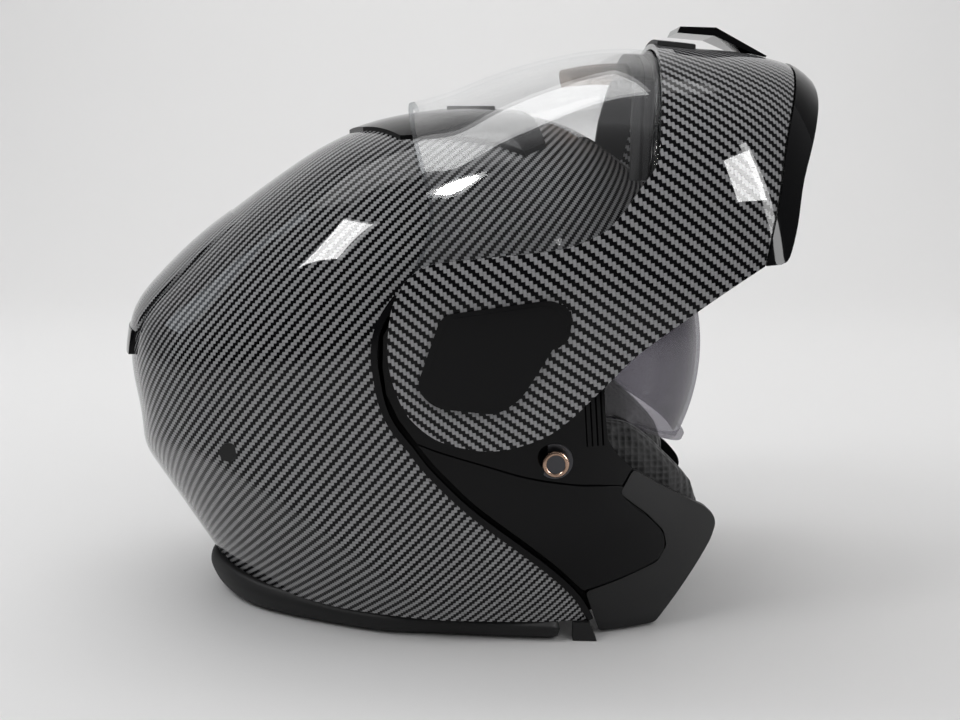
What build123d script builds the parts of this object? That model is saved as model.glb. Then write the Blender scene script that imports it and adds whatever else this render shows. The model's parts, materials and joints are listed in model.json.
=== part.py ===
from build123d import *
import math
import os

# Modular motorcycle helmet with its chin bar swung up.
# +X is the way the wearer looks, +Y the wearer's left, +Z up; the base ring stands on Z = 0.

# Driving sizes, in millimetres
side_view_height = 250.0      # square that every side view outline is drawn in, table to crown
shell_half_width = 116.0
visor_half_width = 119.5
chin_bar_half_width = 123.4
head_half_width = 78.0
closing_angle = 75.0          # degrees from the open chin bar down to the shut one

# Walls and clearances
shell_wall = 3.2
panel_wall = 2.6
panel_step = 4.2              # how far the side panel lies below the carbon shell
visor_wall = 2.2
chin_bar_wall = 3.0
liner_gap = 0.3
seam_gap = 0.3
fit_gap = 0.1                 # round a pin or screw that doesn't turn
running_gap = 0.35            # round what turns or slides
overrun = 60.0                # how far every cutter runs past what it cuts

# Base ring and lower edge
ring_width = 7.0
ring_loft_height = 24.0
skirt_slope_share = 0.62

# Hinge and latch hardware
flat_seat_half_width = 109.8  # the side panels are flat here, where the hinge plates sit
pin_root_depth = 12.0
plate_radius = 21.0
plate_thickness = 1.6
hinge_pin_radius = 4.0
hinge_collar_radius = 8.0
screw_radius = 2.0
screw_head_radius = 3.2
screw_head_height = 1.2
screw_angles = (-45.0, 75.0, 195.0)
visor_pin_radius = 3.0
visor_pin_head_radius = 4.6
visor_pin_head_height = 1.2
stud_radius = 5.6
stud_neck_radius = 3.2
stud_head_height = 2.4
stud_top_half_width = 113.6
stud_seat_radius = 8.0
stud_seat_half_width = 107.4
stud_bearing_half_width = 111.2
hook_half_width = 110.8
hook_thickness = 1.8
hook_eye_radius = 5.0
hook_pin_radius = 2.2
hook_shoulder_radius = 3.4
hook_pin_behind = 12.0        # from the stud back to the hook's pin
hook_pin_outside = 10.0
hook_arm_width = 5.0
hook_claw_length = 4.0
hook_claw_overlap = 1.2
hook_shoulder_half_width = 117.8
arm_inner_half_width = 118.3
arm_root_half_width = 120.1
pin_head_half_width = 108.0
cover_gap = 0.2
cover_thickness = 2.2

# Pads and liner
comfort_thickness = 7.0
neck_thickness = 12.0
foam_inner_half_width = 66.0
cheek_inner_half_width = 52.0
cheek_outer_half_width = 80.0

# Sun visor
sun_visor_radius = 101.5
sun_visor_half_width = 79.0
sun_visor_wall = 2.0
sun_visor_lip = 3.0
sun_eye_radius = 15.0
sun_pin_radius = 2.2
sun_pin_head_radius = 4.4
sun_pin_depth = 6.0
sun_slot_gap = 1.2
sun_visor_top_angle = 44.0    # degrees above straight ahead, with the sun visor down
sun_visor_low_angle = -27.0
sun_visor_travel = 60.0
lever_length = 16.0
lever_width = 5.0
lever_height = 2.4
lever_proud = 2.6
lever_travel = 20.0

# Vents, strap and plugs
vent_rise = 2.4
slit_width = 2.6
slider_length = 24.0
slider_width = 16.0
slider_height = 1.6
slider_travel = 6.0
chin_vent_half_width = 24.0
chin_slider_half_width = 18.0
plug_radius = 4.2
plug_rise = 1.0
plug_length = 6.0
plug_half_width = 106.0
trim_depth = 5.0
trim_rise = 0.8
chin_foam_depth = 18.0
gasket_depth = 5.2
rib_depth = 1.5
deflector_wall = 1.8
deflector_half_width = 46.0
button_half_width = 13.0
button_length = 8.0
button_depth = 6.0
button_travel = 2.5
button_wall = 1.8
strap_width = 22.0
strap_thickness = 1.8
anchor_length = 26.0
anchor_width = 27.0
anchor_thickness = 1.5
anchor_half_width = 90.0
rivet_radius = 2.2
rivet_depth = 8.0
buckle_length = 24.0
buckle_width = 30.0
buckle_wall = 2.0
buckle_height = 9.6
tongue_thickness = 2.4
tongue_width = 21.0
tongue_length = 30.0
tooth_height = 0.6
buckle_pin_radius = 1.5
buckle_eye_radius = 2.5


def side(x_share, z_share):
    """A point of the side view, in millimetres."""
    return (x_share * side_view_height, z_share * side_view_height)


# Axes that the moving pieces turn about
hinge_x, hinge_z = side(0.012, 0.560)
visor_x, visor_z = side(-0.040, 0.520)
sun_x, sun_z = side(0.072, 0.512)
stud_x, stud_z = side(0.162, 0.360)

# Radius of each surface about its axis, as (angle in degrees, share of the side view's height)
shell_radius_shares = [
    (-174.0, 0.699), (-166.0, 0.702), (-157.6, 0.728), (-147.0, 0.770), (-135.0, 0.810),
    (-120.0, 0.790), (-107.0, 0.760), (-90.0, 0.750), (-75.0, 0.780), (-62.0, 0.816),
    (-50.0, 0.800), (-40.0, 0.752), (-28.0, 0.660), (-15.0, 0.584), (0.0, 0.524),
    (15.0, 0.480), (30.0, 0.452), (45.0, 0.440), (60.0, 0.433), (75.0, 0.423),
    (85.0, 0.417), (96.0, 0.418), (106.7, 0.424), (123.6, 0.447), (136.6, 0.469),
    (149.0, 0.504), (159.6, 0.557), (165.0, 0.590), (170.7, 0.630), (174.8, 0.662),
    (180.0, 0.688)]
chin_radius_shares = [
    (-160.0, 0.560), (-120.0, 0.580), (-80.0, 0.620), (-40.0, 0.700), (-10.0, 0.780),
    (10.0, 0.816), (25.0, 0.828), (33.0, 0.826), (36.0, 0.821), (39.5, 0.806),
    (42.0, 0.784), (45.0, 0.756), (50.0, 0.708), (57.0, 0.658), (66.0, 0.610),
    (75.0, 0.580), (100.0, 0.560), (140.0, 0.555), (180.0, 0.555)]
visor_radius_shares = [
    (-150.0, 0.540), (-110.0, 0.600), (-60.0, 0.720), (-10.0, 0.800), (20.0, 0.800),
    (45.0, 0.760), (55.4, 0.704), (62.0, 0.658), (70.0, 0.600), (80.0, 0.540),
    (90.0, 0.496), (98.6, 0.482), (115.0, 0.476), (140.0, 0.488), (180.0, 0.520)]
spoiler_radius_shares = [
    (-174.0, 0.712), (-160.0, 0.700), (-90.0, 0.700), (0.0, 0.520), (90.0, 0.430),
    (123.6, 0.450), (136.6, 0.474), (149.0, 0.514), (159.6, 0.573), (165.0, 0.610),
    (170.7, 0.654), (174.8, 0.686), (180.0, 0.714)]
shell_fullness, chin_fullness, visor_fullness = 2.8, 3.2, 3.6
shell_drift_shares = (-0.100, -0.024)
hull_steps = 10
hull_end_angle = 80.0
halvings = 30
shell_angles = list(range(-176, -96, 5)) + list(range(-96, 180, 9))

# Plan outline of the flared lower wall: (degrees from straight ahead, share), at lower_z
skirt_radius_shares = [
    (-170.0, 0.488), (-151.0, 0.442), (-120.0, 0.389), (-100.0, 0.382), (-73.0, 0.420),
    (-58.0, 0.484), (-33.0, 0.660), (0.0, 0.700), (33.0, 0.660), (58.0, 0.484),
    (73.0, 0.420), (100.0, 0.382), (120.0, 0.389), (151.0, 0.442), (170.0, 0.488),
    (180.0, 0.504)]
lower_z = side_view_height * 0.044


def between(table, angle):
    """A smooth value between the rows of a closed table of (degrees, share)."""
    rows = sorted(table)
    count = len(rows)
    upper = next((i for i, row in enumerate(rows) if row[0] > angle), 0)
    picks = [rows[(upper + k) % count] for k in (-2, -1, 0, 1)]
    angles = [(pick[0] - angle + 180) % 360 - 180 for pick in picks]
    if angles[1] > 0:
        angles[1] = angles[1] - 360
    width = angles[2] - angles[1]
    part = -angles[1] / width
    slope_in = (picks[2][1] - picks[0][1]) / (angles[2] - angles[0]) * width
    slope_out = (picks[3][1] - picks[1][1]) / (angles[3] - angles[1]) * width
    square, cube = part ** 2, part ** 3
    return ((2 * cube - 3 * square + 1) * picks[1][1] + (cube - 2 * square + part) * slope_in
            + (3 * square - 2 * cube) * picks[2][1] + (cube - square) * slope_out)


def skirt_reach(x, y, z, grow):
    """How far out the flared lower wall stands at the height and direction of a point."""
    direction = math.degrees(math.atan2(abs(y), x))
    base = between(skirt_radius_shares, direction) * side_view_height
    return base + grow + skirt_slope_share * (z - lower_z)


def capped(middle, y, turn, radius, grow):
    """The dome's radius, cut short where it would pass the flared lower wall."""
    near, far = 0.0, radius
    for _ in range(halvings):
        reach = (near + far) / 2
        x, z = middle[0] + reach * math.cos(turn), middle[1] + reach * math.sin(turn)
        if math.hypot(x, y) < skirt_reach(x, y, z, grow):
            near = reach
        else:
            far = reach
    return near


def hull(radius_shares, half_width, fullness, axis, grow, drift_shares=(0.0, 0.0),
         flared=False):
    """A closed helmet-shaped solid: loops about an axis that shrink towards both sides."""
    loops = []
    for step in range(-hull_steps, hull_steps + 1):
        lean = math.sin(math.radians(hull_end_angle * step / hull_steps))
        shrink = (1 - lean ** 2) ** (1 / fullness)
        middle = (axis[0] + drift_shares[0] * side_view_height * lean ** 2,
                  axis[1] + drift_shares[1] * side_view_height * lean ** 2)
        y = (half_width + grow) * lean
        points = []
        for angle, share in radius_shares:
            radius = (share * side_view_height + grow) * shrink
            turn = math.radians(angle)
            if flared:
                radius = capped(middle, y, turn, radius, grow)
            points.append(Vector(middle[0] + radius * math.cos(turn), y,
                                 middle[1] + radius * math.sin(turn)))
        loops.append(Wire([Edge.make_spline(points, periodic=True)]))
    return Solid.make_loft(loops)


shell_rows = [(angle, between(shell_radius_shares, angle)) for angle in shell_angles]


def shell_hull(grow):
    return hull(shell_rows, shell_half_width, shell_fullness, (hinge_x, hinge_z), grow,
                shell_drift_shares, flared=True)


def chin_hull(grow):
    return hull(chin_radius_shares, chin_bar_half_width, chin_fullness,
                (hinge_x, hinge_z), grow)


def visor_hull(grow):
    return hull(visor_radius_shares, visor_half_width, visor_fullness,
                (visor_x, visor_z), grow)


def prism(points, y_from, y_to):
    """A side view outline, given in millimetres, run from one Y to another."""
    face = make_face(Polyline([(x, y_from, z) for x, z in points], close=True))
    return extrude(face, amount=y_to - y_from, dir=(0, 1, 0))


def outline(shares):
    return [side(x_share, z_share) for x_share, z_share in shares]


def through(shares):
    """A side view outline, given as shares, cut right through the helmet."""
    reach = chin_bar_half_width + overrun
    return prism(outline(shares), -reach, reach)


def bar(x, z, radius, y_from, y_to):
    """A round bar along Y."""
    plane = Plane(origin=(x, y_from, z), x_dir=(1, 0, 0), z_dir=(0, 1, 0))
    return Solid.make_cylinder(radius, y_to - y_from, plane)


def block(x_from, x_to, y_from, y_to, z_from, z_to):
    return Solid.make_box(x_to - x_from, y_to - y_from, z_to - z_from,
                          Plane((x_from, y_from, z_from)))


far = 2 * side_view_height
right_box = block(-far, far, -far, -seam_gap, -far, far)


def across(half_width):
    """Everything within a distance of the middle plane."""
    return block(-far, far, -half_width, half_width, -far, far)


def outside_of(half_width):
    """Everything on the right beyond a distance from the middle plane."""
    return block(-far, far, -far, -half_width, -far, far)


def ring_of_points(x, z, radius, angles):
    return [(x + radius * math.cos(math.radians(angle)),
             z + radius * math.sin(math.radians(angle))) for angle in angles]


def save(name, shape):
    solids = list(shape.solids())
    export_step(solids[0] if len(solids) == 1 else Compound(children=solids),
                f"parts/{name}.step")


def largest(shape):
    return max(shape.solids(), key=lambda solid: solid.volume)


def save_pair(name, shape):
    save(name + "_right", shape)
    save(name + "_left", mirror(shape, about=Plane.XZ))


# Plan outlines of the ring: X shares of the side view's height, Y shares of the width
ring_bottom_shares = [
    (-0.528, 0.0), (-0.512, 0.190), (-0.416, 0.450), (-0.196, 0.681), (-0.068, 0.737),
    (0.252, 0.793), (0.600, 0.690), (0.660, 0.0)]
ring_top_shares = [
    (-0.536, 0.0), (-0.520, 0.210), (-0.424, 0.490), (-0.204, 0.745), (-0.068, 0.810),
    (0.252, 0.850), (0.600, 0.730), (0.670, 0.0)]


def plan_loop(shares, grow, z):
    """A closed smooth plan outline, symmetric about the middle, pushed out by grow."""
    half = [(x * side_view_height, y * shell_half_width) for x, y in shares]
    whole = half + [(x, -y) for x, y in half[-2:0:-1]]
    points = []
    for x, y in whole:
        reach = math.hypot(x, y)
        points.append(Vector(x * (1 + grow / reach), y * (1 + grow / reach), z))
    return Wire([Edge.make_spline(points, periodic=True)])


cavity_rows = 7                # ellipses that shape the room for the head
neck_rows = 4                  # of them, those that the neck roll follows


def cavity(grow, rows=cavity_rows):
    """The room for the head: horizontal ellipses, smallest at the crown."""
    loops = []
    for z_share, x_share, length_share, width_share in cavity_shares[:rows]:
        plane = Plane((x_share * side_view_height, 0, z_share * (side_view_height + grow)))
        ellipse = Edge.make_ellipse(length_share * side_view_height + grow,
                                    width_share * head_half_width + grow, plane)
        loops.append(Wire([ellipse]))
    return Solid.make_loft(loops)


def sun_profile(inset):
    """How far from its axis the sun visor stands, across its width."""
    half = sun_visor_half_width - inset
    points = []
    for share in sun_profile_shares:
        radius = (sun_visor_radius - inset) * (1 - share ** sun_fullness) ** (1 / sun_fullness)
        points.append((half * share, radius))
    return points


def sun_sweep(inset_out, inset_in, low_angle, high_angle):
    """The sun visor's curved band, swung about its axis between two angles."""
    outer = sun_profile(inset_out)
    inner = sun_profile(inset_in)
    outer = [(-y, r) for y, r in outer[:0:-1]] + outer
    inner = [(-y, r) for y, r in inner[:0:-1]] + inner
    outer_edge = Edge.make_spline([Vector(sun_x + r, y, sun_z) for y, r in outer])
    inner_edge = Edge.make_spline([Vector(sun_x + r, y, sun_z) for y, r in inner])
    ends = [Edge.make_line(outer_edge @ k, inner_edge @ k) for k in (0, 1)]
    face = Face(Wire([outer_edge, ends[1], inner_edge, ends[0]]))
    axis = Axis((sun_x, 0, sun_z), (0, 1, 0))
    band = revolve(face, axis=axis, revolution_arc=high_angle - low_angle)
    return band.rotate(axis, -high_angle)


def cheek_outline(y, share):
    middle_x, middle_z = side(*cheek_middle_share)
    points = [Vector(middle_x + (x - middle_x) * share, y, middle_z + (z - middle_z) * share)
              for x, z in outline(cheek_shares)]
    return Wire([Edge.make_spline(points, periodic=True)])


def band_between(hull_out, hull_in, shares):
    """The part of the wall between two hulls that lies inside a side view outline."""
    return (hull_out & through(shares)) - hull_in


def sweep_strap(points, x_middle):
    """A flat strap run through (Y, Z) points."""
    lower = [(x_middle - strap_width / 2, y, z) for y, z in points]
    upper = [(x_middle - strap_width / 2, y, z + strap_thickness) for y, z in points[::-1]]
    face = make_face(Polyline(lower + upper, close=True))
    return extrude(face, amount=strap_width, dir=(1, 0, 0))


os.makedirs("parts", exist_ok=True)

# Side view outlines, as shares of the side view's height
front_cut_shares = [
    (0.396, 0.817), (0.328, 0.760), (0.264, 0.700), (0.120, 0.708), (-0.032, 0.704),
    (-0.112, 0.656), (-0.148, 0.592), (-0.150, 0.530), (-0.144, 0.480), (-0.122, 0.432),
    (-0.090, 0.390), (-0.060, 0.350), (0.010, 0.278), (0.100, 0.204), (0.160, 0.152),
    (0.210, 0.096), (0.244, 0.030), (0.250, -0.400), (1.200, -0.400), (1.200, 0.817)]
panel_shares = [
    (0.258, 0.692), (0.118, 0.700), (-0.028, 0.696), (-0.104, 0.650), (-0.141, 0.588),
    (-0.143, 0.532), (-0.137, 0.484), (-0.116, 0.438), (-0.084, 0.395), (-0.054, 0.355),
    (0.015, 0.284), (0.105, 0.210), (0.166, 0.157), (0.216, 0.104), (0.222, 0.100),
    (0.286, 0.120), (0.359, 0.147), (0.375, 0.176), (0.368, 0.206), (0.335, 0.243),
    (0.280, 0.291), (0.306, 0.334), (0.277, 0.362), (0.259, 0.392), (0.251, 0.464),
    (0.246, 0.560), (0.262, 0.640)]
corner_shares = [
    (0.308, 0.333), (0.363, 0.296), (0.448, 0.236), (0.466, 0.212), (0.468, 0.196),
    (0.456, 0.170), (0.350, 0.004), (0.254, 0.004), (0.224, 0.098), (0.288, 0.118),
    (0.361, 0.145), (0.378, 0.176), (0.370, 0.208), (0.337, 0.245), (0.283, 0.291)]
lower_edge_shares = [
    (0.300, 0.040), (-0.240, 0.048), (-0.400, 0.062), (-0.540, 0.086), (-0.900, 0.100),
    (-0.900, -0.400), (0.300, -0.400)]
ring_body_shares = [
    (0.300, 0.038), (-0.240, 0.046), (-0.400, 0.060), (-0.540, 0.084), (-0.900, 0.098),
    (-0.900, -0.200), (0.300, -0.200)]
ring_back_shares = [
    (0.200, 0.100), (0.200, -0.100), (-0.900, -0.100), (-0.900, 0.200), (-0.200, 0.200)]
ring_end_shares = [
    (0.2012, -0.100), (0.2012, 0.100), (0.208, 0.100), (0.250, -0.010), (0.250, -0.100)]
spoiler_shares = [
    (-0.470, 0.800), (-0.700, 0.760), (-0.760, 0.540), (-0.690, 0.500), (-0.660, 0.540)]
spoiler_half_width_share = 0.50
eps_front_cut_shares = [
    (0.396, 0.817), (0.328, 0.760), (0.264, 0.700), (0.120, 0.708), (-0.032, 0.704),
    (-0.112, 0.656), (-0.148, 0.592), (-0.150, 0.530), (-0.144, 0.480), (-0.130, 0.400),
    (-0.120, -0.400), (1.200, -0.400), (1.200, 0.817)]
eps_floor_shares = [
    (0.400, 0.060), (-0.240, 0.066), (-0.900, 0.120), (-0.900, -0.400), (0.400, -0.400)]
side_foam_shares = [
    (0.256, 0.690), (0.118, 0.698), (-0.028, 0.694), (-0.106, 0.650), (-0.143, 0.588),
    (-0.145, 0.532), (-0.139, 0.484), (-0.125, 0.402), (-0.115, 0.060), (0.240, 0.050),
    (0.350, 0.050), (0.440, 0.172), (0.450, 0.208), (0.360, 0.285), (0.298, 0.330),
    (0.273, 0.358), (0.255, 0.390), (0.247, 0.464), (0.242, 0.560), (0.258, 0.640)]
crown_pad_shares = [
    (-0.700, 0.420), (-0.150, 0.420), (0.050, 0.560), (0.160, 0.640), (0.220, 0.720),
    (0.260, 0.900), (-0.700, 0.900)]
neck_shares = [
    (-0.220, 0.070), (-0.700, 0.130), (-0.700, 0.230), (-0.260, 0.200)]
cheek_shares = [
    (-0.082, 0.105), (-0.100, 0.200), (-0.060, 0.320), (0.080, 0.385), (0.240, 0.410),
    (0.300, 0.404), (0.368, 0.352), (0.428, 0.290), (0.450, 0.235), (0.440, 0.180),
    (0.400, 0.126), (0.300, 0.088), (0.150, 0.082), (0.000, 0.084)]
cheek_middle_share = (0.180, 0.220)
cheek_section_shares = [(0.0, 0.80), (0.15, 0.92), (0.45, 1.0), (0.80, 1.0), (0.99, 0.97)]
cavity_shares = [
    (0.020, -0.100, 0.330, 0.90), (0.240, -0.112, 0.366, 0.96), (0.512, -0.120, 0.396, 1.0),
    (0.660, -0.120, 0.368, 0.93), (0.760, -0.118, 0.292, 0.74), (0.824, -0.116, 0.180, 0.46),
    (0.848, -0.116, 0.060, 0.15)]
sun_profile_shares = (0.0, 0.2, 0.4, 0.6, 0.75, 0.87, 0.94, 0.98, 0.995, 0.999)
sun_fullness = 2.4
visor_shares = [
    (-0.104, 1.100), (-0.104, 0.996), (-0.068, 0.872), (-0.054, 0.820), (-0.056, 0.760),
    (-0.084, 0.704), (-0.088, 0.640), (-0.076, 0.560), (-0.068, 0.520), (-0.058, 0.499),
    (-0.040, 0.492), (-0.021, 0.500), (-0.013, 0.520), (-0.024, 0.548), (-0.026, 0.584),
    (-0.008, 0.616), (0.048, 0.648), (0.180, 0.692), (0.264, 0.744), (0.320, 0.828),
    (0.336, 0.884), (0.346, 1.000), (0.362, 1.108), (0.362, 1.200), (-0.104, 1.200)]
chin_bar_shares = [
    (-0.057, 0.716), (0.164, 0.742), (0.232, 0.767), (0.264, 0.794), (0.301, 0.842),
    (0.339, 0.885), (0.350, 1.000), (0.366, 1.108), (0.366, 1.200), (0.640, 1.200),
    (0.640, 1.088), (0.612, 1.032), (0.572, 0.928), (0.550, 0.820), (0.525, 0.708),
    (0.407, 0.636), (0.304, 0.564), (0.254, 0.516), (0.175, 0.440), (0.120, 0.408),
    (0.045, 0.392), (-0.038, 0.410), (-0.088, 0.444), (-0.112, 0.483), (-0.128, 0.536),
    (-0.128, 0.588), (-0.122, 0.644), (-0.100, 0.688)]
trim_shares = [
    (0.527, 0.709), (0.5532, 0.820), (0.5752, 0.928), (0.6152, 1.032), (0.6432, 1.088),
    (0.6432, 1.200), (0.800, 1.200), (0.696, 1.016), (0.640, 0.952), (0.604, 0.856),
    (0.588, 0.776), (0.560, 0.712)]
chin_foam_shares = [
    (0.392, 0.984), (0.396, 1.072), (0.400, 1.200), (0.590, 1.200), (0.588, 1.040),
    (0.556, 0.936), (0.550, 0.912)]
gasket_shares = [
    (0.288, 0.856), (0.296, 0.960), (0.314, 1.060), (0.322, 1.200), (0.392, 1.200),
    (0.380, 1.040), (0.366, 0.940), (0.356, 0.880), (0.336, 0.856)]
rib_groove_shares = (0.014, 0.030, 0.046)
rib_groove_width_share = 0.006
deflector_shares = [
    (0.190, 1.060), (0.240, 0.960), (0.346, 0.944), (0.362, 1.060), (0.366, 1.200),
    (0.200, 1.200)]
cover_shares = [
    (-0.030, 0.633), (0.149, 0.658), (0.178, 0.645), (0.184, 0.624), (0.143, 0.558),
    (0.099, 0.487), (0.057, 0.459), (-0.050, 0.471), (-0.082, 0.504), (-0.042, 0.619)]
pocket_shares = [
    (0.186, 0.622), (0.185, 0.560), (0.160, 0.536), (0.146, 0.560)]
chin_vent_shares = [
    (0.371, 1.000), (0.371, 1.300), (0.440, 1.300), (0.448, 1.000)]
chin_slider_shares = [
    (0.412, 1.130), (0.418, 1.142), (0.488, 1.140), (0.588, 1.086), (0.584, 1.081),
    (0.484, 1.124)]
vent_plan_shares = [
    (-0.236, 0.0), (-0.200, 0.220), (-0.120, 0.500), (-0.020, 0.545), (0.060, 0.570),
    (0.110, 0.600), (0.150, 0.500), (0.110, 0.0)]
top_slider_share = (0.010, 0.984)
plug_place_share = (-0.420, 0.376)
rear_vent_shares = [
    (-0.7020, 0.470), (-0.640, 0.466), (-0.640, 0.5365), (-0.6585, 0.536), (-0.6885, 0.497)]
rear_vent_half_width_share = 0.34
rear_slit_shares = (-0.75, -0.45, -0.15, 0.15, 0.45, 0.75)
lever_place_share = (0.040, 0.775, 0.020)
sun_lip_angle = 1.4           # degrees of the swing that the grip lip takes
sun_slot_angle = 2.0
lever_lean = 4.9              # degrees that the lever's track leans outward
button_angle = 38.2           # degrees, from the hinge, of the button housing's inner end
button_reach_share = 0.768
strap_place_share = 0.132
anchor_top_share = 0.0496
buckle_floor_share = 0.008
tooth_count = 2
pad_bay_share = 0.424
rib_line_shares = [(0.288, 0.840), (0.296, 0.960), (0.314, 1.060), (0.322, 1.220)]
pad_bay_height = pad_bay_share * side_view_height
rear_slit_height = (0.474 * side_view_height, 0.520 * side_view_height)
brow_seal_shares = [
    (0.400, 0.8155), (0.329, 0.7585), (0.2645, 0.6985), (0.2645, 0.680), (0.345, 0.748),
    (0.420, 0.8155)]

far_y = chin_bar_half_width + overrun

# Outer shell
shell_outer = shell_hull(0)
shell_inner = shell_hull(-shell_wall)
plug_x, plug_z = side(*plug_place_share)
plug_hole = bar(plug_x, plug_z, plug_radius + fit_gap, -plug_half_width - overrun,
                -plug_half_width + plug_length + fit_gap)
plug_hole = plug_hole + mirror(plug_hole, about=Plane.XZ)
outer_shell = (shell_outer - shell_inner - through(front_cut_shares)
               - through(lower_edge_shares) - plug_hole)
save("outer_shell", outer_shell)
plug = bar(plug_x, plug_z, plug_radius, -plug_half_width - plug_rise,
           -plug_half_width + plug_length)
save("shell_plugs", Compound(children=[plug, mirror(plug, about=Plane.XZ)]))

# Rear spoiler: a raised plate on the back of the crown, with a lip over the shell
shell_skin = shell_hull(seam_gap)
spoiler_hull = hull(spoiler_radius_shares, shell_half_width, shell_fullness,
                    (hinge_x, hinge_z), 0, shell_drift_shares)
spoiler_reach = spoiler_half_width_share * shell_half_width
rear_spoiler = (spoiler_hull & prism(outline(spoiler_shares), -spoiler_reach, spoiler_reach)
                ) - shell_skin
save("rear_spoiler", rear_spoiler)
rear_reach = rear_vent_half_width_share * shell_half_width
rear_vent = (spoiler_hull & prism(outline(rear_vent_shares), -rear_reach, rear_reach)
             ) - shell_skin
for slit_share in rear_slit_shares:
    middle = slit_share * rear_reach
    rear_vent = rear_vent - block(-far, -shell_half_width, middle - slit_width / 2,
                                  middle + slit_width / 2, *rear_slit_height)
save("rear_vent_insert", rear_vent)

# Crown vent: a raised plate with a flat track for its slider
plan_points = [(x * side_view_height, y * shell_half_width) for x, y in vent_plan_shares]
plan_points = plan_points + [(x, -y) for x, y in plan_points[-2:0:-1]]
vent_face = make_face(Polyline([(x, y, hinge_z) for x, y in plan_points], close=True))
vent_column = extrude(vent_face, amount=far, dir=(0, 0, 1))
top_vent = (shell_hull(seam_gap + vent_rise) & vent_column) - shell_skin
slider_x, slider_z = side(*top_slider_share)
track_floor = slider_z - slider_height
slot_start = slider_x - slider_length / 2 - running_gap
slot_end = slider_x + slider_length / 2 + slider_travel + running_gap
top_vent = top_vent - block(slot_start, slot_end, -slider_width / 2 - running_gap,
                            slider_width / 2 + running_gap, track_floor, far)
save("top_vent_housing", top_vent)
top_slider = block(slider_x - slider_length / 2, slider_x + slider_length / 2,
                   -slider_width / 2, slider_width / 2, track_floor + running_gap,
                   slider_z + slider_height)
save("top_vent_slider", top_slider)

# Side panels, flat at the hinge, and the matt front corners
panel_skin = (shell_hull(-panel_step) - shell_hull(-panel_step - panel_wall)) & right_box
pin_hole = bar(hinge_x, hinge_z, hinge_pin_radius + fit_gap, -far_y, -cheek_outer_half_width)
stud_hole = bar(stud_x, stud_z, stud_neck_radius + fit_gap, -far_y, -cheek_outer_half_width)
screw_ring_radius = (plate_radius + hinge_collar_radius) / 2
screw_places = ring_of_points(hinge_x, hinge_z, screw_ring_radius, screw_angles)
holes = pin_hole + stud_hole
for x, z in screw_places:
    holes = holes + bar(x, z, screw_radius + fit_gap, -far_y, -cheek_outer_half_width)
side_panel = (panel_skin & through(panel_shares) & across(flat_seat_half_width)) - holes
save_pair("side_panel", side_panel)
save_pair("front_corner", panel_skin & through(corner_shares))

# Brow seal, in line with the shell's front edge
save("brow_seal", band_between(shell_outer, shell_inner, brow_seal_shares))

# Base ring, open at the front, with its two end pieces and the sun visor lever's track
ring_outer = Solid.make_loft([plan_loop(ring_bottom_shares, 0, 0),
                              plan_loop(ring_top_shares, 0, ring_loft_height)], ruled=True)
ring_inner = Solid.make_loft([plan_loop(ring_bottom_shares, -ring_width, 0),
                              plan_loop(ring_top_shares, -ring_width, ring_loft_height)],
                             ruled=True)
ring_band = (ring_outer - ring_inner) & through(ring_body_shares)
lever_plane = Plane((lever_place_share[0] * side_view_height,
                     lever_place_share[1] * shell_half_width,
                     lever_place_share[2] * side_view_height)).rotated((0, 0, lever_lean))


def lever_block(x_from, x_to, depth, half_height, reach):
    """A block along the sun visor lever's track, lying in the ring's left side."""
    box = Solid.make_box(x_to - x_from, depth + reach, 2 * half_height,
                         Plane((x_from, -depth, -half_height)))
    return box.moved(lever_plane.location)


lever_track = lever_block(-running_gap, lever_length + lever_travel + running_gap,
                          lever_height + running_gap, lever_width / 2 + running_gap, overrun)
sun_visor_lever = lever_block(0, lever_length, lever_height, lever_width / 2, lever_proud)
base_ring = (ring_band & through(ring_back_shares)) - lever_track
save("base_trim_ring", base_ring)
save("sun_visor_lever", sun_visor_lever)
save_pair("ring_end", (ring_band & through(ring_end_shares)) & right_box)

# Sun visor: a band swung about its own axis, with a disc at each pivot and a grip lip
lip_reach = across(sun_visor_half_width - sun_eye_radius)
sun_visor = sun_sweep(0, sun_visor_wall, sun_visor_low_angle, sun_visor_top_angle)
sun_lip = sun_sweep(-sun_visor_lip, sun_visor_wall, sun_visor_low_angle,
                    sun_visor_low_angle + sun_lip_angle) & lip_reach
sun_visor = sun_visor + sun_lip
eye_inner = -sun_visor_half_width + sun_visor_wall
for sign in (-1, 1):
    lens_eye = bar(sun_x, sun_z, sun_eye_radius, -sun_visor_half_width, eye_inner)
    pin_eye = bar(sun_x, sun_z, sun_pin_radius + running_gap, -far_y, -head_half_width / 2)
    if sign > 0:
        lens_eye = mirror(lens_eye, about=Plane.XZ)
        pin_eye = mirror(pin_eye, about=Plane.XZ)
    sun_visor = (sun_visor + lens_eye) - pin_eye
save("sun_visor_lens", sun_visor)
foam_face = -cheek_outer_half_width - liner_gap
sun_pin = (bar(sun_x, sun_z, sun_pin_radius, foam_face - sun_pin_depth, eye_inner + running_gap)
           + bar(sun_x, sun_z, sun_pin_head_radius, eye_inner + running_gap,
                 eye_inner + running_gap + sun_visor_wall / 2))
save("sun_visor_pins", Compound(children=[sun_pin, mirror(sun_pin, about=Plane.XZ)]))
slot_high = sun_visor_top_angle + sun_visor_travel + sun_slot_angle
slot_low = sun_visor_low_angle - sun_slot_angle
sun_slot = sun_sweep(-sun_slot_gap, sun_visor_wall + sun_slot_gap, slot_low, slot_high)
lip_high = sun_visor_low_angle + sun_lip_angle + sun_visor_travel + sun_slot_angle
sun_slot = sun_slot + (sun_sweep(-sun_visor_lip - sun_slot_gap, sun_visor_wall, slot_low,
                                 lip_high)
                       & across(sun_visor_half_width - sun_eye_radius + sun_slot_gap))
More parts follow.
